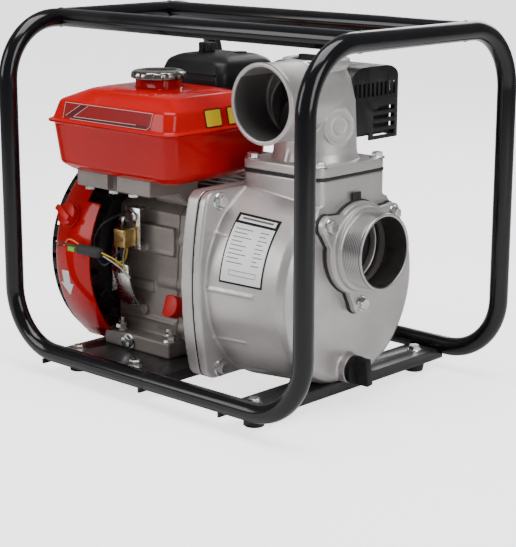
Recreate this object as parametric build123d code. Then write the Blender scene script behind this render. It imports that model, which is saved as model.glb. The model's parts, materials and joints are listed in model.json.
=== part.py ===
from build123d import *
import os
from math import cos, sin, radians, tan, pi

# driving dimensions, mm
LENGTH, TUBE, WALL, BEND = 490.0, 22.0, 2.0, 72.0
HALF_W, RAIL_Z, TOP_Z = 175.0, 29.0, 420.0
TOP_RAIL_Y = 91.0
END_X = LENGTH / 2 - TUBE / 2
PLATE_Z, PLATE_T = 25.0, 3.0
SHAFT_Z = 134.0
FOOT_X, FOOT_Y = 136.0, 143.0
FOOT_X2, FOOT_Y2 = -162.0, 137.0
MOUNT_X, MOUNT_Y = (-145.0, -61.0), 81.0
THROW_X, TILT, BORE_R, STROKE = -105.0, 25.0, 34.0, 54.0
DECK = 136.0
FAN_R, FAN_X0, FAN_X1, FAN_TOP = 135.0, -208.0, -166.0, 246.4
CASE_BACK, CASE_FRONT, CASE_R0, CASE_R1 = 32.0, 154.0, 124.0, 114.0
NECK_Y, NECK_X0, NECK_TOP = 59.0, 35.0, 261.0
PORT_R, THREAD_R, SUCTION_Z, SUCTION_X = 40.0, 43.94, 180.5, 200.0
OUT_X, OUT_Z, OUT_Y = 96.0, 344.0, -91.0
TANK_X, TANK_Y, SEAM_Z = (-190.0, 14.0), (-150.0, 16.0), 306.0
AXIS = (0.0, cos(radians(TILT)), sin(radians(TILT)))
MIN = (Align.CENTER, Align.CENTER, Align.MIN)
DIP = (0.0, -0.94, 0.34)


def span(x, y, z):
    """Box between two corners."""
    return Pos(sum(x) / 2, sum(y) / 2, sum(z) / 2) * Box(x[1] - x[0], y[1] - y[0], z[1] - z[0])


def rod(p, d, r, h):
    """Cylinder from p along d."""
    return Plane(origin=p, z_dir=d) * Cylinder(r, h, align=MIN)


def ring(p, d, ro, ri, h):
    return rod(p, d, ro, h) - rod(p, d, ri, h)


def cone(p, d, r0, r1, h):
    return Plane(origin=p, z_dir=d) * Cone(r0, r1, h, align=MIN)


def turned(p, d, pts):
    """Solid of revolution; pts are (radius, height along d)."""
    face = make_face(Polyline(*[(r, 0, z) for r, z in pts], close=True))
    return Plane(origin=p, z_dir=d) * revolve(face, Axis.Z)


def slab(x, pts):
    """Polygon in Y and Z pushed along X."""
    face = make_face(Polyline(*[(0, y, z) for y, z in pts], close=True))
    return Pos(x[0], 0, 0) * extrude(face, x[1] - x[0], dir=(1, 0, 0))


def rounded(x, y, z, r):
    """Box with rounded upright edges."""
    flat = Pos(sum(x) / 2, sum(y) / 2, z[0]) * RectangleRounded(x[1] - x[0], y[1] - y[0], r)
    return extrude(flat, z[1] - z[0])


def hexagon(p, d, r, h):
    return Plane(origin=p, z_dir=d) * extrude(RegularPolygon(r, 6), h)


def bolt(p, d, r, shank, head=None, tall=None):
    """Hex bolt seated at p: head along d, shank the other way."""
    head, tall = head or 1.85 * r, tall or 1.3 * r
    back = tuple(-c for c in d)
    return hexagon(p, d, head, tall) + rod(p, back, r, shank)


def wire(points, r, bend):
    path = FilletPolyline(*points, radius=bend)
    start = Plane(origin=path @ 0, z_dir=path % 0)
    return sweep(start * Circle(r), path=path)


def hoop(side):
    """Bent frame tube of one end."""
    x = side * END_X
    pts = [(0, -HALF_W, RAIL_Z), (x, -HALF_W, RAIL_Z), (x, -HALF_W, TOP_Z),
           (x, HALF_W, TOP_Z), (x, HALF_W, RAIL_Z), (0, HALF_W, RAIL_Z)]
    return wire(pts, TUBE / 2, BEND) - wire(pts, TUBE / 2 - WALL, BEND)


def top_rail(y):
    rail = ring((-END_X, y, TOP_Z), (1, 0, 0), TUBE / 2, TUBE / 2 - WALL, 2 * END_X)
    for x in (-END_X, END_X):
        rail -= rod((x, -120, TOP_Z), (0, 1, 0), TUBE / 2, 240)
    return rail


def bottom_rails():
    return [rod((-END_X, s * HALF_W, RAIL_Z), (1, 0, 0), TUBE / 2, 2 * END_X) for s in (-1, 1)]


def pressed(x, holes, rails=True):
    """Inverted channel between and under the bottom rails."""
    low = 12.0
    part = span(x, (-177, 177), (low, PLATE_Z))
    part -= span((x[0] + PLATE_T, x[1] - PLATE_T), (-180, 180), (low - 1, PLATE_Z - PLATE_T))
    for rail in bottom_rails():
        part -= rail
    for hx, hy, r in holes:
        part -= rod((hx, hy, PLATE_Z - 5), (0, 0, 1), r, 8)
    return part


def both(points):
    return [(x, s * y) for x, y in points for s in (-1, 1)]


FEET = both([(FOOT_X, FOOT_Y), (FOOT_X2, FOOT_Y2)])
MOUNTS = both([(x, MOUNT_Y) for x in MOUNT_X])
STRAPS = both([(-62.0, FOOT_Y2)])


def crossmember():
    return pressed((112, 154), [(x, y, 4.2) for x, y in FEET if x > 0])


def engine_base_plate():
    holes = [(x, y, 4.2) for x, y in FEET if x < 0] + [(x, y, 4.2) for x, y in MOUNTS + STRAPS]
    return pressed((-184, -12), holes)


def rubber_feet():
    top = PLATE_Z - PLATE_T
    foot = turned((0, 0, 0), (0, 0, 1), [(4.2, 8), (4.2, top), (13, top), (12.5, 8), (11, 0), (8, 0), (8, 8)])
    return [Pos(x, y, 0) * foot for x, y in FEET]


def frame_bolts():
    """Foot bolts, and the bolts through the engine feet and the base plate."""
    part = []
    for x, y in FEET:
        nut = hexagon((x, y, 2.5), (0, 0, 1), 6.8, 5.5)
        washer = rod((x, y, PLATE_Z), (0, 0, 1), 9, 1.6)
        part.append(bolt((x, y, PLATE_Z + 1.6), (0, 0, 1), 4.0, 23, 7.2, 5.2) + nut + washer)
    for x, y in MOUNTS + STRAPS:
        top = 44.0 if abs(y) < 100 else PLATE_Z
        stud = rod((x, y, 14.5), (0, 0, 1), 4.0, top - 14.5 + 15)
        low = hexagon((x, y, PLATE_Z - PLATE_T - 6), (0, 0, 1), 7.2, 6)
        part.append(stud + low + hexagon((x, y, top + 1.6), (0, 0, 1), 7.2, 6.5)
                    + rod((x, y, top), (0, 0, 1), 9, 1.6))
    return part


def along(t, v=0.0, x=THROW_X):
    """Point in the cylinder frame: t from the crank axis, v across it."""
    a = radians(TILT)
    return (x, t * cos(a) - v * sin(a), SHAFT_Z + t * sin(a) + v * cos(a))


def barrel_box(t0, t1, wx, wv, x=THROW_X):
    frame = Plane(origin=along(t0, 0, x), x_dir=(1, 0, 0), z_dir=AXIS)
    return frame * Box(wx, wv, t1 - t0, align=MIN)


CASE_OUTLINE = [(-71, 44), (-71, 122), (-66, 196), (-52, 208), (10, 208), (52, 186), (71, 120), (71, 44)]


def crankcase():
    part = slab((-160, -57), CASE_OUTLINE) + span((-165, -51), (-92, 92), (PLATE_Z, 44))
    part += rod(along(40), AXIS, 45, DECK - 40)
    for i in range(8):
        part += barrel_box(76 + 8 * i, 79 + 8 * i, 104, 96)
    part += barrel_box(DECK - 5, DECK, 104, 96)
    part -= rod((-150, 0, SHAFT_Z), (1, 0, 0), 56, 100)
    part -= rod((-164, 0, SHAFT_Z), (1, 0, 0), 26.0, 20)
    part -= rod(along(0), AXIS, BORE_R, DECK + 5)
    for x, y in MOUNTS:
        part -= rod((x, y, 20), (0, 0, 1), 4.2, 30)
    for z in (74, 152):
        part += rod((-112, -62, z), (0, -1, 0), 7, 14)
    part -= rod((-120, -60, 35), (0, -1, 0), 5.0, 40)
    return part


def crankcase_cover():
    outline = [(y * 0.99, z if z > 50 else 45) for y, z in CASE_OUTLINE]
    part = slab((-56.6, -44), outline) + cone((-44, 0, SHAFT_Z), (1, 0, 0), 58, 54, 24)
    part += rod((-45, -62, 81.1), DIP, 11, 22.5)
    part -= rod((-45, -62, 81.1), DIP, 7.0, 30)
    part -= rod((-58, 0, SHAFT_Z), (1, 0, 0), 26.0, 16)
    part -= rod((-58, 0, SHAFT_Z), (1, 0, 0), 15.0, 60)
    return part


def cover_bolts():
    """Flange bolts of the crankcase cover, and the nuts under the tank brackets."""
    spots = [(-63, 58), (-64, 112), (-60, 166), (-44, 198), (8, 200), (48, 180), (64, 112), (62, 66)]
    part = [hexagon((-44, y, z), (1, 0, 0), 6.2, 5) for y, z in spots]
    for x, y, z in ((-160, -114, 221), (-118, -114, 221), (-84, -114, 221)):
        part.append(hexagon((x, y, z), (0, 0, 1), 6.2, 5))
    return part


def main_bearings():
    return [ring((-163.5, 0, SHAFT_Z), (1, 0, 0), 26.0, 12.55, 13.0),
            ring((-57.0, 0, SHAFT_Z), (1, 0, 0), 26.0, 12.55, 14.5)]


def cylinder_head():
    part = barrel_box(DECK + 1.0, DECK + 26, 84, 78)
    for i in range(4):
        part += barrel_box(DECK + 1.0 + 7 * i, DECK + 4.0 + 7 * i, 110, 98)
    part += rod(along(DECK + 13.5, 26, THROW_X - 56), (1, 0, 0), 12, 112)
    part -= rod(along(DECK + 13, 26, THROW_X - 60), (1, 0, 0), 9, 30)
    part -= rod(along(DECK + 13, 26, THROW_X + 30), (1, 0, 0), 9, 30)
    part -= rod(along(DECK + 10, -43), AXIS, 5.5, 30)
    return part


def rocker_cover():
    frame = Plane(origin=along(DECK + 26), x_dir=(1, 0, 0), z_dir=AXIS)
    outer = frame * extrude(RectangleRounded(92, 60, 10), 18)
    inner = frame * Pos(0, 0, -1) * extrude(RectangleRounded(89, 57, 8.5), 17.5)
    return outer + frame * extrude(RectangleRounded(98, 66, 11), 2) - inner


def spark_plug():
    base = along(DECK + 12, -43)
    part = rod(base, AXIS, 5.4, 14) + hexagon(along(DECK + 26, -43), AXIS, 8.5, 5)
    return part + rod(along(DECK + 31, -43), AXIS, 5, 4) + rod(along(DECK + 35, -43), AXIS, 8, 9)


def ignition_coil():
    """Coil and its laminated core, beside the flywheel rim inside the fan cover."""
    part = rounded((-196, -170), (-16, 16), (107, 122), 3)
    for y in (-24, 18):
        part += span((-190, -176), (y, y + 6), (104, 114))
    part += span((-190, -176), (-24, 24), (109, 114))
    return Pos(0, 0, SHAFT_Z) * Rot(-60, 0, 0) * part


def crankshaft():
    part = rod((-206.8, 0, SHAFT_Z), (1, 0, 0), 7.0, 4)
    part += rod((-204, 0, SHAFT_Z), (1, 0, 0), 9.5, 40)
    part += rod((-165, 0, SHAFT_Z), (1, 0, 0), 12.5, 45)
    part += rod((-90, 0, SHAFT_Z), (1, 0, 0), 12.5, 110)
    part += rod((19, 0, SHAFT_Z), (1, 0, 0), 10.0, 40)
    for x in (-133, -93):
        web = rod((x, 0, SHAFT_Z), (1, 0, 0), 40, 16)
        part += web & span((x, x + 16), (-34, 34), (SHAFT_Z - 42, SHAFT_Z + 42))
    part += rod((-118, 0, SHAFT_Z + 26), (1, 0, 0), 13, 26)
    return part


def flywheel():
    """Cast flywheel with its fan blades, and the pressed starter cup on its nose."""
    x = -202
    part = turned((x, 0, SHAFT_Z), (1, 0, 0), [(9.5, 0), (9.5, 28), (26, 28), (26, 12), (78, 12), (78, 28),
                                             (92, 28), (92, 4), (40, 0)])
    blade = Pos(x + 14, 0, 95) * Box(26, 2.4, 16)
    for i in range(24):
        part += Pos(0, 0, SHAFT_Z) * Rot(i * 15, 0, 0) * blade
    cup = ring((-206, 0, SHAFT_Z), (1, 0, 0), 40, 38, 4) + ring((-204, 0, SHAFT_Z), (1, 0, 0), 40, 9.5, 2)
    return [part, cup]


def fan_cover():
    profile = [(FAN_R, 42), (FAN_R, 8), (FAN_R - 2.5, 2.5), (FAN_R - 8, 0), (104, 0), (104, 1.6), (FAN_R - 9, 1.6),
               (FAN_R - 3.5, 5), (FAN_R - 1.6, 10), (FAN_R - 1.6, 42)]
    part = turned((FAN_X0, 0, SHAFT_Z), (1, 0, 0), profile)
    part -= span((-215, -150), (-150, 150), (-10, 28)) + span((-203, -150), (-150, 150), (FAN_TOP, 290))
    skirt = ring((FAN_X1 - 1, 0, SHAFT_Z), (1, 0, 0), FAN_R, FAN_R - 1.6, 25)
    part += skirt & span((FAN_X1 - 1, FAN_X1 + 24), (-150, -20), (46, 205))
    floor = span((FAN_X0 + 1, FAN_X1), (-82, 82), (28, 29.6))
    roof = span((-203, FAN_X1), (-74, 74), (FAN_TOP - 1.6, FAN_TOP))
    lip = span((-204.6, -203), (-74, 74), (FAN_TOP - 1.6, 270)) & rod((-208, 0, SHAFT_Z), (1, 0, 0), FAN_R - 1, 10)
    return part + floor + roof + lip


def recoil_cover():
    profile = [(129, 13.6), (129, 5), (126, 1), (122, 0), (30, 0), (30, 1.8), (121, 1.8), (125, 3), (127.2, 6), (127.2, 13.6)]
    part = turned((-222, 0, SHAFT_Z), (1, 0, 0), profile)
    part += ring((-222, 0, SHAFT_Z), (1, 0, 0), 30, 7.0, 1.8) + rod((-222, 0, SHAFT_Z), (1, 0, 0), 7.0, 13)
    part -= span((-230, -150), (-150, 150), (-10, 28))
    slot = Pos(-221, 0, SHAFT_Z + 112) * Box(8, 5, 22)
    cuts = [Pos(0, 0, SHAFT_Z) * Rot(i * 12, 0, 0) * Pos(0, 0, -SHAFT_Z) * slot for i in range(30)
            if not 11 < i < 19 and not i == 27]
    rim = Pos(-214, 0, SHAFT_Z + 128) * Box(9, 6, 8)
    cuts += [Pos(0, 0, SHAFT_Z) * Rot(i * 9, 0, 0) * Pos(0, 0, -SHAFT_Z) * rim for i in range(40)
             if not 14 < i < 26 and i not in (33, 34, 35, 36)]
    part -= cuts
    part -= rod((-212, 60, SHAFT_Z + 40), (0, 1, 0), 3.2, 80)
    return part


def recoil_reel():
    pts = [(7.05, 0.4), (7.05, 9), (20, 9), (20, 7), (52, 7), (52, 6), (45, 5.6), (45, 2.6), (52, 2.2), (52, 1.2),
           (34, 1.2), (34, 3.2), (12, 3.2), (12, 0.4)]
    return turned((-218.6, 0, SHAFT_Z), (1, 0, 0), pts)


def recoil_spring():
    """Flat coil spring around the reel hub."""
    part = None
    for i in range(6):
        coil = ring((-219.9, 0, SHAFT_Z), (1, 0, 0), 14.8 + 3 * i, 14 + 3 * i, 2.0)
        part = coil if part is None else part + coil
    return part + span((-219.9, -218.7), (-0.6, 0.6), (SHAFT_Z + 14.2, SHAFT_Z + 29.6))


def starter_handle():
    """Pull grip and the end of its rope."""
    y, z = 134.0, SHAFT_Z + 40
    grip = turned((-208, y, z), (0, 1, 0), [(0, 0), (6, 0), (9, 4), (13, 9), (13, 22), (11, 27), (0, 28)])
    return [grip, rod((-212, 84, z), (0, 1, 0), 2.0, y - 84)]


def side_plate():
    """Curved zinc screen between the shroud and the crankcase wall."""
    part = ring((-141.5, 0, SHAFT_Z), (1, 0, 0), 100, 98.6, 29.5)
    part = part & slab((-145, -110), [(0, SHAFT_Z), (-160, SHAFT_Z + 100), (-160, SHAFT_Z - 108)])
    part -= span((-132.5, -110), (-110, -60), (132, 240))
    return part + span((-141.5, -140), (-99.3, -71.05), (96, 128))


def shell(sections, wall, opening):
    """Lofted skin: list of (z, x0, x1, y0, y1, corner)."""
    def solid(shrink, dz):
        faces = []
        for i, (z, x0, x1, y0, y1, r) in enumerate(sections):
            zz = z + (dz if i == (0 if opening == "top" else len(sections) - 1) else 0)
            faces.append(Pos((x0 + x1) / 2, (y0 + y1) / 2, zz)
                         * RectangleRounded(x1 - x0 - 2 * shrink, y1 - y0 - 2 * shrink, r - shrink * 0.6))
        body = None
        for a, b in zip(faces, faces[1:]):
            piece = loft([a, b])
            body = piece if body is None else body + piece
        return body
    return solid(0, 0) - solid(wall, wall if opening == "top" else -wall)


def fuel_tank_lower():
    (x0, x1), (y0, y1) = TANK_X, TANK_Y
    skin = shell([(247, x0 + 14, x1 - 10, y0 + 12, y1 - 12, 22), (256, x0 + 6, x1 - 3, y0 + 4, y1 - 4, 24),
                  (SEAM_Z, x0, x1, y0, y1, 26)], 1.6, "top")
    lip = extrude(Pos((x0 + x1) / 2, (y0 + y1) / 2, SEAM_Z - 1.5) * RectangleRounded(x1 - x0 + 12, y1 - y0 + 12, 30), 1.5)
    lip -= extrude(Pos((x0 + x1) / 2, (y0 + y1) / 2, SEAM_Z - 4) * RectangleRounded(x1 - x0 - 3.2, y1 - y0 - 3.2, 25), 8)
    return skin + lip - rod((-88, -67, 240), (0, 0, 1), 4, 12)


def fuel_tank_upper():
    (x0, x1), (y0, y1) = TANK_X, TANK_Y
    skin = shell([(SEAM_Z, x0, x1, y0, y1, 26), (331, x0 + 5, x1 - 4, y0 + 5, y1 - 5, 24),
                  (346, x0 + 34, x1 - 26, y0 + 28, y1 - 28, 20)], 1.6, "bottom")
    lip = extrude(Pos((x0 + x1) / 2, (y0 + y1) / 2, SEAM_Z) * RectangleRounded(x1 - x0 + 12, y1 - y0 + 12, 30), 1.5)
    lip -= extrude(Pos((x0 + x1) / 2, (y0 + y1) / 2, SEAM_Z - 4) * RectangleRounded(x1 - x0 - 3.2, y1 - y0 - 3.2, 25), 8)
    tab = rounded((x0 - 22, x0 + 2), (-120, -92), (SEAM_Z, SEAM_Z + 1.5), 8)
    neck = rod((-86, -70, 344), (0, 0, 1), 27, 16.6)
    hole = rod((-86, -70, 330), (0, 0, 1), 25.4, 40)
    return skin + lip + tab - hole + neck - hole


def fuel_cap():
    part = turned((-86, -70, 0), (0, 0, 1), [(0, 361), (27.4, 361), (27.4, 357), (32.5, 357), (32.5, 363.5), (30, 366),
                                            (0, 366)])
    cuts = [Pos(-86, -70, 0) * Rot(0, 0, i * 30) * Pos(34.5, 0, 362) * Cylinder(4, 20) for i in range(12)]
    return part - cuts


def tank_brackets():
    """Cast arms from the crankcase top to the tank floor."""
    part = []
    for x0, x1 in ((-165.4, -112), (-96, -40)):
        arm = slab((x0, x1), [(-130, 228), (-130, 246.8), (-52, 246.8), (-52, 208.3), (-64, 208.3), (-84, 226)])
        arm += rod(((x0 + x1) / 2, -92, 240), (0, 0, 1), 9, 6.8)
        part.append(arm - span((x0 + 8, x1 - 8), (-124, -70), (200, 240)))
    return part


def air_cleaner_base():
    part = rounded((-184, -72), (21, 128), (330, 338), 12)
    part += span((-206, -192), (116, 148), (214, 336)) + span((-200, -150), (112, 126), (324, 338))
    part -= rod((-199, 132, 220), (0, 0, 1), 5, 108) + rod((-199, 132, 226), (1, 0, 0), 8.5, 20)
    return part + rod((-141, 66, 333), (0, 0, 1), 3.0, 49)


def air_filter_element():
    outer = rounded((-172, -84), (34, 114), (338.2, 366), 12)
    return outer - rounded((-158, -98), (48, 100), (338, 367), 6)


def air_cleaner_cover():
    sections = [(338.3, -184, -72, 21, 128, 12), (362, -182, -74, 23, 126, 12), (374, -166, -90, 39, 110, 10)]
    skin = shell(sections, 2.0, "bottom")
    return skin - rod((-141, 66, 360), (0, 0, 1), 3.4, 30)


def air_cleaner_nut():
    part = rod((-141, 66, 374.4), (0, 0, 1), 10.5, 11)
    part -= [Pos(-141, 66, 381) * Rot(0, 0, 45 * i) * Pos(11.5, 0, 0) * Cylinder(2.2, 10) for i in range(8)]
    return part - rod((-141, 66, 370), (0, 0, 1), 3.3, 12.3)


def carburettor():
    """Carburettor body, its float bowl and the control plate on top."""
    part = rounded((-192, -162), (118, 146), (212, 241), 5) + span((-164, -161), (106, 146), (211, 241))
    part += rounded((-176, -166), (120, 144), (236, 247), 3)
    part -= rod((-200, 132, 226), (1, 0, 0), 8.5, 60)
    part += rod((-184, 145, 234), (0, 1, 0), 4.5, 3) + rod((-170, 145, 218), (0, 1, 0), 4.5, 3)
    part -= rod((-184, 140, 234), (0, 1, 0), 2.55, 20) + rod((-170, 140, 218), (0, 1, 0), 2.55, 20)
    bowl = rod((-178, 134, 198), (0, 0, 1), 12.5, 14) - rod((-178, 134, 200), (0, 0, 1), 10.5, 12)
    bowl += hexagon((-178, 134, 195.5), (0, 0, 1), 4.5, 2.5)
    plate = rounded((-174, -118), (118, 147), (247, 249), 4) - rod((-134, 134, 240), (0, 0, 1), 3.05, 10)
    return [part, bowl, plate]


def lever(p, tip, w):
    """Flat lever on a shaft along Y, arm from p towards tip in X and Z."""
    part = rod((p[0], p[1] + 0.3, p[2]), (0, 1, 0), 5, 2.2) + rod((p[0], p[1] - 4, p[2]), (0, 1, 0), 2.5, 5)
    dx, dz = tip[0] - p[0], tip[1] - p[2]
    size = (dx * dx + dz * dz) ** 0.5
    arm = Plane(origin=(p[0], p[1] + 1.4, p[2]), x_dir=(dx, 0, dz), z_dir=(0, 1, 0)) * Pos(size / 2, 0, 0) * Box(size, w, 2.2)
    return part + arm + rod((tip[0], p[1] + 0.3, tip[1]), (0, 1, 0), w * 0.75, 7)


def choke_lever():
    return lever((-184, 148, 234), (-200, 250), 5)


def fuel_valve_lever():
    return lever((-170, 148, 218), (-170, 198), 5)


def throttle_lever():
    part = rod((-134, 134, 244), (0, 0, 1), 3.0, 7) + rod((-134, 134, 249.3), (0, 0, 1), 9, 2.4)
    return part + span((-137, -131), (134, 168), (249.3, 251.7)) + rod((-134, 168, 249.3), (0, 0, 1), 6, 9)


def arched(x, y, top, r):
    """Tunnel along X with rounded upper edges."""
    frame = Plane(origin=(x[0], sum(y) / 2, top - 70), x_dir=(0, 1, 0), z_dir=(1, 0, 0))
    return frame * extrude(RectangleRounded(y[1] - y[0], 140, r), x[1] - x[0])


def muffler():
    body = rounded((-38, 84), (70, 160), (287, 362), 16) & arched((-50, 95), (70, 160), 362, 26)
    pipe = rod((-49, 129, 219), (1, 0, 0), 12, 29) + rod((-21, 129, 219), (0, 0, 1), 12, 70)
    plate = span((-49, -46), (104, 150), (203, 236))
    return body + pipe + plate - rod((-52, 129, 219), (1, 0, 0), 9, 31) + rod((84, 118, 326), (1, 0, 0), 9, 4)


def muffler_guard():
    """Perforated steel guard around the muffler."""
    outer = rounded((-43, 90), (64, 166), (282, 369), 12) & arched((-50, 95), (64, 166), 369, 30)
    inner = rounded((-41.4, 88.4), (65.6, 164.4), (280, 367.4), 10.4) & arched((-50, 95), (65.6, 164.4), 367.4, 28.4)
    part = outer - inner - span((80, 95), (60, 104), (280, 291))
    cuts = [span((-30 + 9 * i, -25 + 9 * i), (60, 170), (335, 355)) for i in range(13)]
    cuts += [span((-28, 74), (60, 170), (292 + 11 * i, 298 + 11 * i)) for i in range(3)]
    cuts += [span((80, 95), (76 + 8 * i, 80 + 8 * i), (334, 350)) for i in range(10)]
    cuts += [span((80, 95), (112, 152), (286.5 + 9.8 * i, 291.5 + 9.8 * i)) for i in range(4)]
    cuts += [span((-50, -35), (76 + 9 * i, 81 + 9 * i), (300, 355)) for i in range(9)]
    part -= cuts
    for x in (-30, 60):
        part += span((x, x + 16), (64.5, 70), (298.5, 302))
    return part


SWITCH_DIR = (0.0, -cos(radians(23)), sin(radians(23)))


def radial(r, x):
    return (x, r * SWITCH_DIR[1], SHAFT_Z + r * SWITCH_DIR[2])


def switch_housing():
    frame = Plane(origin=radial(133.0, -185), x_dir=(1, 0, 0), z_dir=SWITCH_DIR)
    part = frame * Cylinder(15.5, 5, align=MIN) - rod((-230, 0, SHAFT_Z), (1, 0, 0), FAN_R, 100)
    return part - rod(radial(130, -185), SWITCH_DIR, 4.05, 12)


def switch_knob():
    frame = Plane(origin=radial(138.4, -185), x_dir=(1, 0, 0), z_dir=SWITCH_DIR)
    part = frame * Cylinder(14, 6, align=MIN) + frame * Pos(0, 0, 6) * Rot(0, 0, -25) * Box(28, 6.5, 7, align=MIN)
    return part + rod(radial(136, -185), SWITCH_DIR, 4.0, 4)


def oil_alert_unit():
    return rounded((-131, -111), (-106, -86), (154, 176), 2.5)


def oil_alert_bracket():
    part = span((-131, -105), (-86, -84.6), (150, 200)) + span((-131, -105), (-84.6, -70.3), (198.6, 200))
    return part + hexagon((-113, -86, 190), (0, -1, 0), 5.5, 4)


def connector_sleeve():
    return rod((-152, -143, 154), (1, 0, 0), 6.5, 42)


def engine_wires():
    return [wire([(-120, -76, 198), (-132, -112, 190), (-146, -124, 168), (-148, -122, 144), (-134, -120, 130),
                  (-124, -116, 138), (-120, -98, 154)], 1.4, 7),
            wire([(-110, -143, 155), (-98, -133, 148), (-94, -118, 134), (-104, -112, 128), (-116, -102, 138), (-116, -96, 154)], 1.1, 6),
            wire([(-110, -141, 151), (-102, -130, 142), (-98, -110, 120), (-110, -104, 118), (-122, -100, 138), (-124, -92, 154)], 1.1, 6),
            wire([(-152, -143, 156), (-168, -147, 158), (-184, -145, 156), (-196, -138.4, 150), (-200, -134, 149.5)], 1.2, 6)]


def oil_drain_plug():
    return bolt((-120, -93.2, 35), (0, -1, 0), 4.9, 14, 8, 6) + rod((-120, -92, 35), (0, -1, 0), 9.5, 1.2)



def oil_dipstick():
    base = (-45, -62 - 0.94 * 22.8, 81.1 + 0.34 * 22.8)
    frame = Plane(origin=base, x_dir=(1, 0, 0), z_dir=DIP)
    part = frame * (Cylinder(13.5, 15, align=MIN) & Pos(3.5, 0, 0) * Box(23, 30, 15, align=MIN))
    stick = Plane(origin=base, z_dir=(0, 0.94, -0.34)) * Cylinder(6.7, 12, align=MIN)
    return part + stick


def flange_face(grow=0.0):
    """Outline of the casing joint: square with bowed sides."""
    top, low, side, bow = 109 + grow, -108 - grow, 120 + grow, 134 + grow
    line = Polyline((side, low), (-side, low)) + ThreePointArc((-side, low), (-bow, 0), (-side, top))
    line += Polyline((-side, top), (side, top)) + ThreePointArc((side, top), (bow, 0), (side, low))
    face = make_face(line)
    face = fillet(face.vertices(), 16)
    return face


def flange(x0, x1):
    plane = Plane(origin=(x0, 0, SHAFT_Z), x_dir=(0, 1, 0), z_dir=(1, 0, 0))
    return plane * extrude(flange_face(), x1 - x0)


CASE_BOLTS = [(y, SHAFT_Z + z) for y in (-100, 100) for z in (-97, 97)]


def pump_back_plate():
    """Adapter bolted to the engine: it closes the casing and carries the seal."""
    part = flange(14, CASE_BACK - 1) + cone((-20, 0, SHAFT_Z), (1, 0, 0), 66, 92, 40)
    part -= turned((-20, 0, SHAFT_Z), (1, 0, 0), [(0, -1), (46, -1), (46, 8), (74, 34), (0, 34)])
    part -= rod((-10, 0, SHAFT_Z), (1, 0, 0), 22, 60)
    for y, z in CASE_BOLTS:
        part -= rod((12, y, z), (1, 0, 0), 4.2, 40)
    return part


def gaskets():
    """Flat gaskets of the casing joint, the outlet neck and the cylinder head."""
    case = flange(CASE_BACK - 1, CASE_BACK) - rod((CASE_BACK - 2, 0, SHAFT_Z), (1, 0, 0), 106, 4)
    for y, z in CASE_BOLTS:
        case -= rod((18, y, z), (1, 0, 0), 4.6, 30)
    neck = rounded((NECK_X0 - 0.5, CASE_FRONT + 0.5), (-NECK_Y - 0.5, NECK_Y + 0.5), (NECK_TOP, NECK_TOP + 3), 12)
    neck -= rod((OUT_X, 0, NECK_TOP - 1), (0, 0, 1), 40, 6)
    for x, y in NECK_BOLTS:
        neck -= rod((x, y, NECK_TOP - 1), (0, 0, 1), 3.8, 6)
    head = barrel_box(DECK, DECK + 1.0, 100, 92) - rod(along(DECK - 2), AXIS, 35, 5)
    return [case, neck, head]


def pump_casing():
    face = CASE_BACK + 11
    part = flange(CASE_BACK, face) + turned((0, 0, SHAFT_Z), (1, 0, 0), [
        (0, face - 2), (CASE_R0, face - 2), (CASE_R1 + 2, CASE_FRONT - 12), (CASE_R1 - 2, CASE_FRONT - 4),
        (CASE_R1 - 9, CASE_FRONT), (0, CASE_FRONT)])
    part += rounded((NECK_X0, CASE_FRONT), (-NECK_Y, NECK_Y), (SHAFT_Z, NECK_TOP), 12)
    part += slab((face - 4, CASE_FRONT), [(-NECK_Y, 232), (NECK_Y, 232), (96, SHAFT_Z + 48), (-96, SHAFT_Z + 48)])
    for a, length in ((-56, 40), (-28.3, 46), (0.6, 68), (29.7, 15), (151, 46), (180, 60), (209, 46)):
        out = CASE_R0 + 1.8
        side = Polyline((face - 2, -112, 0), (face - 2, -out, 0), (face + length, 0.079 * length - out, 0),
                        (face + length + 2, -112, 0), close=True)
        rib = Pos(0, 0, -1.2) * extrude(make_face(side), 2.4, dir=(0, 0, 1))
        part += Pos(0, 0, SHAFT_Z) * Rot(-a, 0, 0) * rib
    inner = turned((0, 0, SHAFT_Z), (1, 0, 0), [(0, CASE_BACK - 2), (CASE_R0 - 14, CASE_BACK - 2), (CASE_R1 - 8, CASE_FRONT - 18),
                                               (CASE_R1 - 14, CASE_FRONT - 8), (0, CASE_FRONT - 8)])
    part -= inner
    part -= rounded((NECK_X0 + 10, CASE_FRONT - 8), (-NECK_Y + 8, NECK_Y - 8), (SHAFT_Z + 60, NECK_TOP + 1), 8)
    part += rod((CASE_FRONT - 8, 0, SUCTION_Z), (1, 0, 0), 56, 8.0) & span((100, CASE_FRONT), (-60, 60), (100, 250))
    part += lobes(CASE_FRONT - 6, CASE_FRONT + 2.0, 58)
    part -= rod((100, 0, SUCTION_Z), (1, 0, 0), 38, 60)
    part += rod((CASE_FRONT - 10, DRAIN[0], DRAIN[1]), (1, 0, 0), 17, 20)
    part -= rod((CASE_FRONT - 12, DRAIN[0], DRAIN[1]), (1, 0, 0), 12.4, 30)
    part -= span((108, CASE_FRONT + 0.5), (-70, 70), (0, PLATE_Z))
    for y in (-25, 18.5):
        part += span((133, CASE_FRONT - 6), (y, y + 6.5), (220, 233))
    part -= rod((CASE_FRONT - 13.4, -30, SUCTION_Z + 47), (0, 1, 0), 3.05, 60)
    for y, z in CASE_BOLTS:
        part -= rod((18, y, z), (1, 0, 0), 4.2, 40)
    for x, y in NECK_BOLTS:
        part -= rod((x, y, NECK_TOP - 18), (0, 0, 1), 3.6, 30)
    for y, z in SUCTION_BOLTS:
        part -= rod((CASE_FRONT - 5, y, z), (1, 0, 0), 3.6, 30)
    return part


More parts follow.
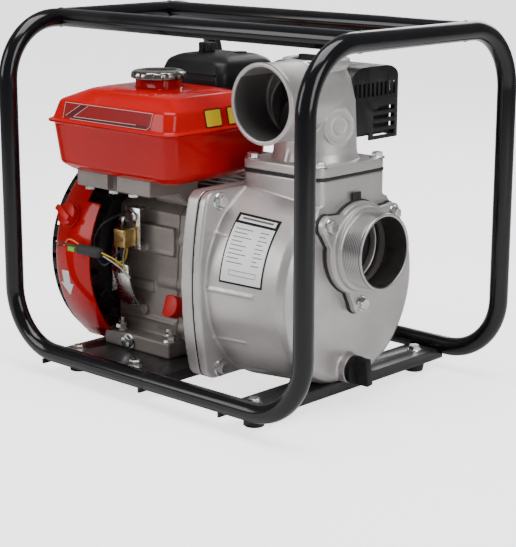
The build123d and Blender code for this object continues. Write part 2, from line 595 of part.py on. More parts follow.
NECK_BOLTS = [(OUT_X + sx * 50, sy * 50) for sx in (-1, 1) for sy in (-1, 1)]
DRAIN = (-8.0, 40.0)
SUCTION_BOLTS = [(64 * cos(radians(a)), SUCTION_Z + 64 * sin(radians(a))) for a in (30, 150, 270)]


def lobes(x0, x1, r, grow=0.0):
    """Round flange with three bolt ears."""
    part = rod((x0, 0, SUCTION_Z), (1, 0, 0), r - 5 + grow, x1 - x0)
    for y, z in SUCTION_BOLTS:
        part += rod((x0, y, z), (1, 0, 0), 12 + grow, x1 - x0)
        ear = make_face(Polyline((30, -30 - grow), (66, -11.5 - grow), (66, 11.5 + grow), (30, 30 + grow), close=True))
        frame = Plane(origin=(x0, 0, SUCTION_Z), x_dir=(0, y, z - SUCTION_Z), z_dir=(1, 0, 0))
        part += frame * extrude(ear, x1 - x0)
    return part


def suction_gasket():
    part = lobes(CASE_FRONT + 2, CASE_FRONT + 5, 58, 1.5) + span((CASE_FRONT + 2, CASE_FRONT + 5), (-7, 7), (230, 243))
    part -= rod((150, 0, SUCTION_Z), (1, 0, 0), 39, 20)
    for y, z in SUCTION_BOLTS:
        part -= rod((150, y, z), (1, 0, 0), 3.8, 20)
    return part


def suction_flange():
    x0 = CASE_FRONT + 5
    part = lobes(x0, x0 + 8, 58) + rod((x0, 0, SUCTION_Z), (1, 0, 0), 48, 14)
    part += rod((x0, 0, SUCTION_Z), (1, 0, 0), THREAD_R, SUCTION_X - x0)
    part -= rod((150, 0, SUCTION_Z), (1, 0, 0), PORT_R, 60)
    for y, z in SUCTION_BOLTS:
        part -= rod((150, y, z), (1, 0, 0), 3.6, 30)
    return part


def check_valve():
    """Flap behind the suction port, hung at its top edge."""
    x1 = CASE_FRONT - 8.4
    part = rod((x1 - 5, 0, SUCTION_Z), (1, 0, 0), 42, 5) + span((x1 - 5, x1), (-16, 16), (SUCTION_Z + 36, SUCTION_Z + 47))
    return part + rod((x1 - 12, 0, SUCTION_Z), (1, 0, 0), 26, 7) + rod((x1 - 5, -25, SUCTION_Z + 47), (0, 1, 0), 3, 50)


def pump_bolts():
    """Casing, neck and suction flange bolts."""
    part = [bolt((CASE_BACK + 11, y, z), (1, 0, 0), 4.1, 22, 8.5, 6.5) for y, z in CASE_BOLTS]
    part += [bolt((x, y, NECK_TOP + 14), (0, 0, 1), 3.5, 28, 7.6, 6) for x, y in NECK_BOLTS]
    part += [bolt((CASE_FRONT + 13, y, z), (1, 0, 0), 3.5, 15, 8.5, 6.5) for y, z in SUCTION_BOLTS]
    return part


def volute():
    """Inner volute around the impeller, open at the top."""
    part = rod((CASE_BACK + 6, 0, SHAFT_Z), (1, 0, 0), 98, 44)
    part -= rod((CASE_BACK + 5, 0, SHAFT_Z), (1, 0, 0), 72, 36)
    part -= rod((CASE_BACK + 5, 10, SHAFT_Z + 6), (1, 0, 0), 78, 34)
    part -= rod((CASE_BACK + 5, 0, SHAFT_Z), (1, 0, 0), 33, 60)
    part -= span((CASE_BACK + 5, CASE_BACK + 38), (30, 74), (SHAFT_Z + 40, SHAFT_Z + 110))
    part += ring((CASE_BACK + 50, 0, SHAFT_Z), (1, 0, 0), 40, 33, 12)
    for a in (45, 165, 285):
        y, z = 84 * cos(radians(a)), SHAFT_Z + 84 * sin(radians(a))
        part += rod((CASE_BACK - 1, y, z), (1, 0, 0), 7, 8) if a != 45 else rod((CASE_BACK - 1, 40, SHAFT_Z - 80), (1, 0, 0), 7, 8)
    return part


def impeller():
    x0 = CASE_BACK + 8
    part = rod((x0, 0, SHAFT_Z), (1, 0, 0), 66, 4.5) + cone((x0 + 4, 0, SHAFT_Z), (1, 0, 0), 20, 12, 22)
    for i in range(4):
        turn = Rot(i * 90, 0, 0)
        vane = CenterArc((0, 30), 34, -80, 150)
        outer = CenterArc((0, 30), 38, -80, 150)
        blade = make_face(Polyline(outer @ 0, vane @ 0) + vane + Polyline(vane @ 1, outer @ 1) + outer)
        frame = Plane(origin=(x0 + 4, 0, 0), x_dir=(0, 1, 0), z_dir=(1, 0, 0))
        solid = frame * extrude(blade, 22)
        part += Pos(0, 0, SHAFT_Z) * turn * solid
    part = part & rod((x0 - 1, 0, SHAFT_Z), (1, 0, 0), 66, 60)
    part -= rod((x0 - 1, 0, SHAFT_Z), (1, 0, 0), 10.0, 21)
    return [part, ring((CASE_BACK - 0.7, 0, SHAFT_Z), (1, 0, 0), 19, 10.0, 8.5)]


def mechanical_seal():
    """Seat pressed in the back plate."""
    return ring((CASE_BACK - 13, 0, SHAFT_Z), (1, 0, 0), 22, 12.9, 12)


def discharge_elbow():
    z0 = NECK_TOP + 3
    part = rounded((NECK_X0, CASE_FRONT), (-NECK_Y, NECK_Y), (z0, z0 + 11), 12)
    part += turned((OUT_X, 0, 0), (0, 0, 1), [(0, z0 + 9), (50, z0 + 9), (47.5, z0 + 20), (45, 340), (39, 366), (34, 376),
                                             (38, 381), (38, 388), (0, 388)])
    part += rod((OUT_X, 10, OUT_Z), (0, -1, 0), 44, 10 - OUT_Y) + rod((OUT_X, OUT_Y + 5, OUT_Z), (0, -1, 0), 45.6, 5)
    part += Pos(OUT_X, 0, 0) * Rot(0, 0, -14) * cone((38, 0, 316), (1, 0, 0), 22, 21, 9)
    part += slab((OUT_X - 3, OUT_X + 3), [(-52, z0 + 10), (-43, 304), (-36, z0 + 10)])
    part -= turned((OUT_X, 0, 0), (0, 0, 1), [(0, z0 - 1), (40, z0 - 1), (40, 345), (34, 366), (26, 370), (26, 375),
                                             (28.4, 375), (28.4, 392), (0, 392)])
    part -= rod((OUT_X, -38, OUT_Z), (0, -1, 0), PORT_R, 80)
    part -= rod((OUT_X, 0, OUT_Z - 8), (0, -1, 0), 32, 60)
    for x, y in NECK_BOLTS:
        part -= rod((x, y, z0 - 1), (0, 0, 1), 3.6, 30)
    return part


def priming_plug():
    part = turned((OUT_X, 0, 0), (0, 0, 1), [(0, 375.3), (28.1, 375.3), (28.1, 386), (24, 386), (24, 384), (0, 384)])
    return part + span((OUT_X - 23, OUT_X + 23), (-4, 4), (383, 391))


def drain_plug():
    x0 = CASE_FRONT + 10.3
    y, z = DRAIN
    part = rod((x0, y, z), (1, 0, 0), 16.5, 7) + rod((x0 - 18, y, z), (1, 0, 0), 12.1, 18)
    return part + Pos(x0 + 7, y, z) * Rot(8, 0, 0) * Box(16, 9, 31, align=(Align.MIN, Align.CENTER, Align.CENTER))


def spec_plate():
    """Plain rating plate wrapped on the drum side."""
    slope = (CASE_R0 - CASE_R1 - 2) / (CASE_FRONT - 12 - 41)
    pts = [(CASE_R0 - slope * (x - 41) + t, x) for x, t in ((62, 0.02), (122, 0.02), (122, 0.9), (62, 0.9))]
    band = turned((0, 0, SHAFT_Z), (1, 0, 0), pts)
    low, high = (tan(radians(a)) * 160 for a in (5.5, 44.5))
    return band & slab((50, 130), [(0, SHAFT_Z), (-160, SHAFT_Z + high), (-160, SHAFT_Z + low)])


def piston():
    pin = DECK - 22 - STROKE / 2
    low = rod(along(pin - 14), AXIS, BORE_R - 0.05, 35)
    low -= rod(along(pin - 16), AXIS, BORE_R - 5, 30)
    frame = Plane(origin=along(pin, 0, THROW_X - 30), z_dir=(1, 0, 0))
    return low + frame * Cylinder(9, 60, align=MIN) - frame * Pos(0, 0, -5) * Cylinder(5, 80, align=MIN)


PARTS = {
    "hoop_pump_end": lambda: hoop(1), "hoop_engine_end": lambda: hoop(-1),
    "top_rails": lambda: [top_rail(-TOP_RAIL_Y), top_rail(TOP_RAIL_Y)], "crossmember": crossmember,
    "engine_base_plate": engine_base_plate, "rubber_feet": rubber_feet, "frame_bolts": frame_bolts,
    "crankcase": crankcase, "crankcase_cover": crankcase_cover, "cover_bolts": cover_bolts,
    "main_bearings": main_bearings, "crankshaft": crankshaft, "piston": piston, "gaskets": gaskets,
    "cylinder_head": cylinder_head, "rocker_cover": rocker_cover, "spark_plug": spark_plug,
    "ignition_coil": ignition_coil, "flywheel": flywheel, "fan_cover": fan_cover,
    "recoil_cover": recoil_cover, "recoil_reel": recoil_reel, "recoil_spring": recoil_spring,
    "starter_handle": starter_handle, "side_plate": side_plate, "fuel_tank_lower": fuel_tank_lower,
    "fuel_tank_upper": fuel_tank_upper, "fuel_cap": fuel_cap, "tank_brackets": tank_brackets,
    "air_cleaner_base": air_cleaner_base, "air_filter_element": air_filter_element,
    "air_cleaner_cover": air_cleaner_cover, "air_cleaner_nut": air_cleaner_nut,
    "carburettor": carburettor, "choke_lever": choke_lever, "fuel_valve_lever": fuel_valve_lever,
    "throttle_lever": throttle_lever, "muffler": muffler, "muffler_guard": muffler_guard,
    "switch_housing": switch_housing, "switch_knob": switch_knob, "oil_alert_unit": oil_alert_unit,
    "oil_alert_bracket": oil_alert_bracket, "connector_sleeve": connector_sleeve,
    "engine_wires": engine_wires, "oil_drain_plug": oil_drain_plug, "oil_dipstick": oil_dipstick,
    "pump_back_plate": pump_back_plate, "mechanical_seal": mechanical_seal, "impeller": impeller,
    "volute": volute, "pump_casing": pump_casing, "spec_plate": spec_plate, "drain_plug": drain_plug,
    "suction_gasket": suction_gasket, "suction_flange": suction_flange, "check_valve": check_valve,
    "discharge_elbow": discharge_elbow, "priming_plug": priming_plug, "pump_bolts": pump_bolts,
}

if __name__ == "__main__":
    os.makedirs("parts", exist_ok=True)
    for name, make in PARTS.items():
        shape = make()
        if isinstance(shape, list):
            shape = Compound(children=list(shape))
        shape.label = name
        export_step(shape, f"parts/{name}.step")
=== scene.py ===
import json
import math

import bmesh
import bpy
from mathutils import Matrix, Vector

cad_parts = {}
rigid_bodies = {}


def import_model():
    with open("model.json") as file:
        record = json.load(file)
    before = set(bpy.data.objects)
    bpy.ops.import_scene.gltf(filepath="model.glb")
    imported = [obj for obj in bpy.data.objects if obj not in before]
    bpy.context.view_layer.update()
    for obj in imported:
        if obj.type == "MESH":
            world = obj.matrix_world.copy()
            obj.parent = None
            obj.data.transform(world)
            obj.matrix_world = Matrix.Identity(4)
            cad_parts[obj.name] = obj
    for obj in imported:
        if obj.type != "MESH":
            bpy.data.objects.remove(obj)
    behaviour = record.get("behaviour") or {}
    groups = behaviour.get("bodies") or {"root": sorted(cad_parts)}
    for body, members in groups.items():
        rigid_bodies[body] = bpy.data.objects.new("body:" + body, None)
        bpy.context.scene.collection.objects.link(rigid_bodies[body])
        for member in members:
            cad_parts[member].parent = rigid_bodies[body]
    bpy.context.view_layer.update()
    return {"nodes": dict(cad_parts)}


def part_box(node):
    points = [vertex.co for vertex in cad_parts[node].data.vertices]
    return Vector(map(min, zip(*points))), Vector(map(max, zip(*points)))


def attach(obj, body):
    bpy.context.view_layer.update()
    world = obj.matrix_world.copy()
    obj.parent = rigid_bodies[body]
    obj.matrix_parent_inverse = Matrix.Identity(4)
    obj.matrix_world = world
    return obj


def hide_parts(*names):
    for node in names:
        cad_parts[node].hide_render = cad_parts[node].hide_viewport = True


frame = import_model()
MM = 0.001

# Camera: a long lens at chest height, off the near pump-side corner.
# No hose, lead or rope hangs free on this pump, so no cord has to be laid.
look = bpy.data.cameras.new("camera")
look.lens, look.sensor_width = 104.13, 36.0
camera = bpy.data.objects.new("camera", look)
bpy.context.scene.collection.objects.link(camera)
bpy.context.scene.camera = camera
turn, rise, roll = math.radians(42.833), math.radians(13.563), math.radians(0.166)
ahead = Vector((-math.sin(turn) * math.cos(rise), math.cos(turn) * math.cos(rise), -math.sin(rise)))
side = ahead.cross(Vector((0, 0, 1))).normalized()
above = side.cross(ahead)
right = side * math.cos(roll) + above * math.sin(roll)
upward = above * math.cos(roll) - side * math.sin(roll)
camera.matrix_world = Matrix((
    (right.x, upward.x, -ahead.x, 1.25761), (right.y, upward.y, -ahead.y, -1.34768),
    (right.z, upward.z, -ahead.z, 0.56813), (0, 0, 0, 1)))


# Carrying frame: two bent tube hoops and two straight top rails, welded up from 22 mm steel
# tube and powder coated gloss black. The coat has a fine orange peel and a little dust.
class Value:
    """A number that changes over a surface; arithmetic on it adds Math nodes."""

    def __init__(self, paint, socket):
        self.paint, self.socket = paint, socket

    def calc(self, operation, a, b):
        return self.paint.node("ShaderNodeMath", {"operation": operation}, {0: a, 1: b})

    def __add__(self, other):
        return self.calc("ADD", self, other)

    def __radd__(self, other):
        return self.calc("ADD", other, self)

    def __sub__(self, other):
        return self.calc("SUBTRACT", self, other)

    def __rsub__(self, other):
        return self.calc("SUBTRACT", other, self)

    def __mul__(self, other):
        return self.calc("MULTIPLY", self, other)

    def __rmul__(self, other):
        return self.calc("MULTIPLY", other, self)

    def __lt__(self, other):
        return self.calc("LESS_THAN", self, other)


class Paint:
    """One finish: a Principled shader and the few nodes that give it its detail."""

    def __init__(self, name, colour, rough, metal=0.0, coat=0.0, **steady):
        self.material = bpy.data.materials.new(name)
        self.material.use_nodes = True
        self.nodes, self.links = self.material.node_tree.nodes, self.material.node_tree.links
        self.shader = self.nodes["Principled BSDF"]
        self.colour = colour
        self.wear("Base Color", (*colour, 1))
        self.wear("Roughness", rough)
        self.wear("Metallic", metal)
        self.wear("Coat Weight", coat)
        for socket, value in steady.items():
            self.wear(socket.replace("_", " "), value)
        self.spot = self.node("ShaderNodeTexCoord", out="Object").socket

    def node(self, kind, settings=None, inputs=None, out=0):
        made = self.nodes.new(kind)
        for key, value in (settings or {}).items():
            setattr(made, key, value)
        for key, value in (inputs or {}).items():
            self.join(made.inputs[key], value)
        return Value(self, made.outputs[out])

    def join(self, socket, value):
        if isinstance(value, Value):
            self.links.new(value.socket, socket)
        elif isinstance(value, bpy.types.NodeSocket):
            self.links.new(value, socket)
        else:
            socket.default_value = value

    def wear(self, socket, value):
        self.join(self.shader.inputs[socket], value)

    def stretch(self, scale, turn=(0, 0, 0)):
        return self.node("ShaderNodeMapping", None, {"Vector": self.spot, "Scale": scale, "Rotation": turn})

    def noise(self, scale, detail=4.0, rough=0.55, where=None):
        return self.node("ShaderNodeTexNoise", None, {
            "Vector": where or self.spot, "Scale": scale, "Detail": detail, "Roughness": rough})

    def cells(self, scale, where=None):
        return self.node("ShaderNodeTexVoronoi", {"feature": "F1"},
                         {"Vector": where or self.spot, "Scale": scale})

    def ramp(self, value, low, high):
        return self.node("ShaderNodeMapRange", {"clamp": True, "interpolation_type": "SMOOTHSTEP"},
                         {0: value, 1: low, 2: high, 3: 0.0, 4: 1.0})

    def blend(self, share, a, b):
        made = self.nodes.new("ShaderNodeMix")
        made.data_type = "RGBA"
        for key, value in ((0, share), (6, a), (7, b)):
            bare = isinstance(value, tuple) and len(value) == 3
            self.join(made.inputs[key], (*value, 1) if bare else value)
        return Value(self, made.outputs[2])

    def bump(self, height, depth, strength=0.4):
        self.wear("Normal", self.node("ShaderNodeBump", None, {
            "Height": height, "Distance": depth, "Strength": strength}))

    def inside(self, first, second, middle, radius):
        """1 within a radius of a line; first and second number the axes across it, sizes in mm."""
        u, v = (self.along(k) - m * MM for k, m in zip((first, second), middle))
        return u * u + v * v < (radius * MM) ** 2

    def along(self, axis):
        return self.node("ShaderNodeSeparateXYZ", None, {0: self.spot}, axis)


def new_object(name, mesh):
    made = bpy.data.objects.new(name, mesh)
    bpy.context.scene.collection.objects.link(made)
    return made


def finish(made, paint, body, slot, *nodes, sharp=35):
    """Shading, material, body and the CAD nodes that the piece stands for; slot is not used."""
    made.data.materials.clear()
    made.data.materials.append(paint.material)
    made.data.shade_smooth()
    made.data.set_sharp_from_angle(angle=math.radians(sharp))
    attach(made, body)
    if nodes:
        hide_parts(*nodes)
    return made


def settle(made):
    """Turns an object and its modifiers into a plain mesh."""
    bpy.context.view_layer.update()
    seen = made.evaluated_get(bpy.context.evaluated_depsgraph_get())
    mesh = bpy.data.meshes.new_from_object(seen)
    name = made.name
    bpy.data.objects.remove(made)
    mesh.name = name
    return new_object(name, mesh)


def crisp(node, paint, body, slot, edge=0.5, sharp=35, tidy=1.0):
    """A pressed or machined part: the CAD surface, merged, with its sharp edges broken."""
    shape = bmesh.new()
    shape.from_mesh(frame["nodes"][node].data)
    bmesh.ops.remove_doubles(shape, verts=shape.verts, dist=0.00002)
    bmesh.ops.dissolve_limit(shape, angle_limit=math.radians(tidy), verts=shape.verts, edges=shape.edges)
    mesh = bpy.data.meshes.new(node + "_skin")
    shape.to_mesh(mesh)
    shape.free()
    made = new_object(mesh.name, mesh)
    if edge:
        rounding = made.modifiers.new("edge", "BEVEL")
        rounding.width, rounding.segments = edge * MM, 2
        rounding.limit_method, rounding.angle_limit = "ANGLE", math.radians(32)
        rounding.harden_normals = False
        made = settle(made)
    return finish(made, paint, body, slot, node, sharp=sharp)


gloss_black = Paint("gloss_black_coat", (0.004, 0.004, 0.005), 0.2, coat=0.25, Coat_Roughness=0.06,
                    Specular_IOR_Level=0.25)
dust = gloss_black.ramp(gloss_black.noise(9.0, 6), 0.5, 0.75)
gloss_black.wear("Roughness", 0.16 + dust * 0.12)
gloss_black.wear("Base Color", gloss_black.blend(dust * 0.25, (0.004, 0.004, 0.005), (0.02, 0.019, 0.018)))
gloss_black.bump(gloss_black.noise(420.0, 2), 0.0002, 0.15)
for tube in ("hoop_pump_end", "hoop_engine_end", "top_rails"):
    crisp(tube, gloss_black, "pump", "frame_black", edge=0, sharp=50, tidy=0.05)

# Weld beads: a low ripple of weld metal round each end of a top rail and round the butt
# joints of the hoops on the bottom rails, under the same black coat.
def ring_of(centre, axis, radius, count, wobble=0.0):
    """Points round a circle about an axis."""
    axis = Vector(axis).normalized()
    u = axis.orthogonal().normalized()
    w = axis.cross(u)
    return [Vector(centre) + (u * math.cos(t) + w * math.sin(t)) * (radius + wobble * math.sin(t * 24))
            for t in (2 * math.pi * i / count for i in range(count))]


def loft(name, rings, closed=False, caps=True):
    """Skin over rings of equally many points; closed joins the last ring to the first."""
    count = len(rings[0])
    faces = []
    spans = len(rings) if closed else len(rings) - 1
    for i in range(spans):
        a, b = i * count, ((i + 1) % len(rings)) * count
        for j in range(count):
            k = (j + 1) % count
            faces.append((a + j, a + k, b + k, b + j))
    if caps and not closed:
        faces += [tuple(range(count))[::-1], tuple(range((len(rings) - 1) * count, len(rings) * count))]
    mesh = bpy.data.meshes.new(name)
    mesh.from_pydata([tuple(p) for ring in rings for p in ring], [], faces)
    shape = bmesh.new()
    shape.from_mesh(mesh)
    bmesh.ops.remove_doubles(shape, verts=shape.verts, dist=1e-6)
    bmesh.ops.dissolve_degenerate(shape, dist=1e-6, edges=shape.edges)
    bmesh.ops.recalc_face_normals(shape, faces=shape.faces)
    shape.to_mesh(mesh)
    shape.free()
    return mesh


def merge(name, meshes):
    """Several meshes as one object."""
    shape = bmesh.new()
    for mesh in meshes:
        shape.from_mesh(mesh)
    whole = bpy.data.meshes.new(name)
    shape.to_mesh(whole)
    shape.free()
    return new_object(name, whole)


def bead(centre, axis, radius, size):
    rings = []
    for c in range(8):
        a = 2 * math.pi * c / 8
        shift = Vector(axis) * size * math.cos(a)
        rings.append(ring_of(Vector(centre) + shift, axis, radius + size * 0.6 * math.sin(a), 72,
                             size * 0.18 * max(0.0, math.sin(a))))
    return loft("bead", rings, closed=True)


TUBE_R = 11 * MM
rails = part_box("top_rails")
rail_y, rail_z = (rails[1].y - TUBE_R), (rails[0].z + rails[1].z) / 2
beads = []
for s in (-1, 1):
    for x in (rails[0].x, rails[1].x):
        beads.append(bead((x - math.copysign(0.6 * MM, x), s * rail_y, rail_z), (1, 0, 0), 10.9 * MM,
                          1.7 * MM))
    beads.append(bead((0, s * 175 * MM, 29 * MM), (1, 0, 0), 10.8 * MM, 0.9 * MM))
finish(merge("weld_beads", beads), gloss_black, "pump", "frame_black", sharp=60)

# Floor parts: the crossmember under the pump and the base plate under the engine are folded
# from 3 mm sheet, coated satin black and scuffed where boots and bolts have rubbed them.
satin_black = Paint("satin_black_plate", (0.018, 0.018, 0.018), 0.4, Specular_IOR_Level=0.35)
scuff = satin_black.ramp(satin_black.noise(30.0, 8, 0.7), 0.52, 0.72)
satin_black.wear("Base Color", satin_black.blend(scuff * 0.3, (0.016, 0.016, 0.016), (0.08, 0.075, 0.07)))
satin_black.wear("Roughness", 0.3 + scuff * 0.25)
satin_black.bump(satin_black.noise(260.0, 3), 0.0003, 0.25)
for plate in ("crossmember", "engine_base_plate"):
    crisp(plate, satin_black, "pump", "frame_black", edge=0.8)

# Feet: four turned rubber buffers under the sheet metal, each held by a long bolt.
rubber = Paint("moulded_rubber", (0.017, 0.017, 0.017), 0.62)
rubber.wear("Roughness", 0.55 + rubber.noise(60.0) * 0.2)
rubber.bump(rubber.noise(700.0, 3), 0.0002, 0.4)
crisp("rubber_feet", rubber, "pump", "rubber_black", edge=0.9)


# Fasteners: zinc plated hex flange bolts and nuts, cold headed, with a chamfered head and a
# skirt. One node tree makes each set from the points where its bolts sit.
def fastener_tree():
    tree = bpy.data.node_groups.new("hex_fasteners", "GeometryNodeTree")
    face = tree.interface
    face.new_socket("Geometry", in_out="INPUT", socket_type="NodeSocketGeometry")
    for size in ("Head Radius", "Head Height", "Skirt Radius", "Skirt Height", "Shank Radius",
                 "Shank Length"):
        face.new_socket(size, in_out="INPUT", socket_type="NodeSocketFloat")
    face.new_socket("Finish", in_out="INPUT", socket_type="NodeSocketMaterial")
    face.new_socket("Geometry", in_out="OUTPUT", socket_type="NodeSocketGeometry")

    def add(kind, settings=None, inputs=None):
        made = tree.nodes.new(kind)
        for key, value in (settings or {}).items():
            setattr(made, key, value)
        for key, value in (inputs or {}).items():
            if isinstance(value, bpy.types.NodeSocket):
                tree.links.new(value, made.inputs[key])
            else:
                made.inputs[key].default_value = value
        return made

    def times(a, b):
        return add("ShaderNodeMath", {"operation": "MULTIPLY"}, {0: a, 1: b}).outputs[0]

    def lifted(part, height):
        offset = add("ShaderNodeCombineXYZ", None, {"Z": height}).outputs[0]
        return add("GeometryNodeTransform", None, {"Geometry": part, "Translation": offset}).outputs[0]

    give = add("NodeGroupInput").outputs
    head_r, head_h = give["Head Radius"], give["Head Height"]
    skirt_r, skirt_h = give["Skirt Radius"], give["Skirt Height"]
    parts = [lifted(add("GeometryNodeMeshCylinder", None, {
        "Vertices": 6, "Radius": head_r, "Depth": times(head_h, 0.8)}).outputs["Mesh"],
        add("ShaderNodeMath", {"operation": "ADD"}, {0: skirt_h, 1: times(head_h, 0.4)}).outputs[0])]
    parts.append(lifted(add("GeometryNodeMeshCone", None, {
        "Vertices": 6, "Radius Bottom": head_r, "Radius Top": times(head_r, 0.84),
        "Depth": times(head_h, 0.2)}
    ).outputs["Mesh"], add("ShaderNodeMath", {"operation": "ADD"},
                           {0: skirt_h, 1: times(head_h, 0.8)}).outputs[0]))
    parts.append(add("GeometryNodeMeshCone", None, {
        "Vertices": 40, "Radius Bottom": skirt_r, "Radius Top": times(skirt_r, 0.9),
        "Depth": skirt_h}).outputs["Mesh"])
    parts.append(lifted(add("GeometryNodeMeshCylinder", None, {
        "Vertices": 20, "Radius": give["Shank Radius"], "Depth": give["Shank Length"]}).outputs["Mesh"],
        times(give["Shank Length"], -0.5)))
    joined = add("GeometryNodeJoinGeometry")
    for part in parts:
        tree.links.new(part, joined.inputs[0])
    aim = add("GeometryNodeInputNamedAttribute", {"data_type": "FLOAT_VECTOR"}, {"Name": "aim"}).outputs[0]
    spin = add("FunctionNodeAlignRotationToVector", {"axis": "Z"}, {"Vector": aim}).outputs[0]
    placed = add("GeometryNodeInstanceOnPoints", None, {
        "Points": give["Geometry"], "Instance": joined.outputs[0], "Rotation": spin}).outputs[0]
    real = add("GeometryNodeRealizeInstances", None, {"Geometry": placed}).outputs[0]
    shown = add("GeometryNodeSetMaterial", None, {"Geometry": real, "Material": give["Finish"]}).outputs[0]
    add("NodeGroupOutput", None, {"Geometry": shown})
    return tree


FASTENERS = fastener_tree()


def fasteners(name, paint, spots, head, tall, skirt, lip, shank, reach):
    """Bolts or nuts at spots, each a place and the way its head points; sizes in mm."""
    points = bpy.data.meshes.new(name)
    points.from_pydata([tuple(Vector(p) * MM) for p, _ in spots], [], [])
    aim = points.attributes.new("aim", "FLOAT_VECTOR", "POINT")
    for row, (_, way) in zip(aim.data, spots):
        row.vector = way
    made = new_object(name, points)
    nodes = made.modifiers.new("fasteners", "NODES")
    nodes.node_group = FASTENERS
    sizes = {"Head Radius": head * MM, "Head Height": tall * MM, "Skirt Radius": skirt * MM,
             "Skirt Height": lip * MM, "Shank Radius": shank * MM, "Shank Length": reach * MM,
             "Finish": paint.material}
    for item in FASTENERS.interface.items_tree:
        if item.in_out == "INPUT" and item.name in sizes:
            nodes[item.identifier] = sizes[item.name]
    return settle(made)


def fuse(name, objects):
    """Joins finished mesh objects into one."""
    whole = merge(name, [o.data for o in objects])
    for o in objects:
        bpy.data.objects.remove(o)
    return whole


zinc = Paint("bright_zinc", (0.66, 0.67, 0.66), 0.28, metal=1.0)
tarnish = zinc.ramp(zinc.noise(70.0, 6, 0.65), 0.4, 0.7)
zinc.wear("Base Color", zinc.blend(tarnish * 0.6, (0.68, 0.68, 0.68), (0.52, 0.51, 0.47)))
zinc.wear("Roughness", 0.22 + tarnish * 0.2)
zinc.bump(zinc.noise(900.0, 2), 0.0001, 0.2)
UP, DOWN, PUMPWARD = (0, 0, 1), (0, 0, -1), (1, 0, 0)
feet_at = [(136, -143), (136, 143), (-162, -137), (-162, 137)]
mounts_at = [(x, y) for x in (-145, -61) for y in (-81, 81)]
straps_at = [(-62, -137), (-62, 137)]
foot_tops = fasteners("foot_bolt_heads", zinc, [((x, y, 25), UP) for x, y in feet_at], 7.2, 5.2, 9, 1.6, 4,
                      20)
foot_nuts = fasteners("foot_bolt_nuts", zinc, [((x, y, 2.5), UP) for x, y in feet_at], 6.8, 5, 6.9, 0.5, 4,
                      1)
mount_nuts = fasteners("mount_nuts", zinc, [((x, y, 44), UP) for x, y in mounts_at], 7.2, 6.5, 9, 1.6, 4, 30)
stud_ends = fasteners("mount_studs", zinc, [((x, y, 44), UP) for x, y in mounts_at], 4.0, 15, 4, 0.1, 3.9,
                      10)
strap_nuts = fasteners("strap_nuts", zinc, [((x, y, 25), UP) for x, y in straps_at], 7.2, 6.5, 9, 1.6, 4, 10)
low_nuts = fasteners("low_nuts", zinc, [((x, y, 22), DOWN) for x, y in mounts_at + straps_at], 7.2, 6, 7.3,
                     0.2, 4, 5)
finish(fuse("frame_fasteners", [foot_tops, foot_nuts, mount_nuts, stud_ends, strap_nuts, low_nuts]),
       zinc, "pump", "zinc", "frame_bolts")


# Crankcase: one pressure die casting in warm grey aluminium with the finned barrel on it.
# It has stepped side walls, bolt bosses along its joint, a fine cast grain and a bored barrel.
def eased(points, radius, steps=4):
    """A closed outline of (a, b) pairs with its corners rounded."""
    made = []
    for i, p in enumerate(points):
        p = Vector(p)
        before, after = Vector(points[i - 1]) - p, Vector(points[(i + 1) % len(points)]) - p
        cut = min(radius, before.length * 0.45, after.length * 0.45)
        a, b = p + before.normalized() * cut, p + after.normalized() * cut
        for s in range(steps + 1):
            t = s / steps
            made.append(a * (1 - t) ** 2 + p * 2 * t * (1 - t) + b * t ** 2)
    return made


def block(x, y, z, turn=0.0, about=(0, 0)):
    """Box between two corners in mm, turned about a line along X through (y, z)."""
    shape = bmesh.new()
    bmesh.ops.create_cube(shape, size=1)
    for v in shape.verts:
        v.co = Vector([(c[0] + c[1]) / 2 + v.co[i] * (c[1] - c[0]) for i, c in enumerate((x, y, z))])
    if turn:
        bmesh.ops.rotate(shape, verts=shape.verts, cent=(0, about[0], about[1]),
                         matrix=Matrix.Rotation(math.radians(turn), 3, "X"))
    bmesh.ops.scale(shape, verts=shape.verts, vec=(MM, MM, MM))
    mesh = bpy.data.meshes.new("block")
    shape.to_mesh(mesh)
    shape.free()
    return mesh


def drum(place, way, radius, length, top=None, count=40):
    """Cylinder or cone frustum in mm, from a place along a way."""
    way = Vector(way).normalized()
    place = Vector(place)
    return loft("drum", [ring_of(place * MM, way, radius * MM, count),
                         ring_of((place + way * length) * MM, way, (top or radius) * MM, count)])


def cast(name, paint, body, slot, nodes, extra=(), voxel=1.2, passes=3, keep=0.5, cut=None):
    """A casting: the CAD bodies, ribs and bosses under one skin with soft edges."""
    shape = bmesh.new()
    for node in nodes:
        shape.from_mesh(frame["nodes"][node].data)
    bmesh.ops.remove_doubles(shape, verts=shape.verts, dist=0.00002)
    for part in extra:
        shape.from_mesh(part)
    mesh = bpy.data.meshes.new(name)
    shape.to_mesh(mesh)
    shape.free()
    made = new_object(name, mesh)
    for tool in cut or ():
        cutter = new_object("cutter", tool)
        cutter.hide_render = True
        gap = made.modifiers.new("gap", "BOOLEAN")
        gap.operation, gap.solver, gap.object = "DIFFERENCE", "EXACT", cutter
        gap.use_self = True
    skin = made.modifiers.new("skin", "REMESH")
    skin.mode, skin.voxel_size, skin.use_smooth_shade = "VOXEL", voxel * MM, True
    soft = made.modifiers.new("soft", "SMOOTH")
    soft.factor, soft.iterations = 0.5, passes
    thin = made.modifiers.new("thin", "DECIMATE")
    thin.ratio = keep
    made = settle(made)
    for left in [o for o in bpy.data.objects if o.name.startswith("cutter")]:
        bpy.data.objects.remove(left)
    return finish(made, paint, body, slot, *nodes, sharp=60)


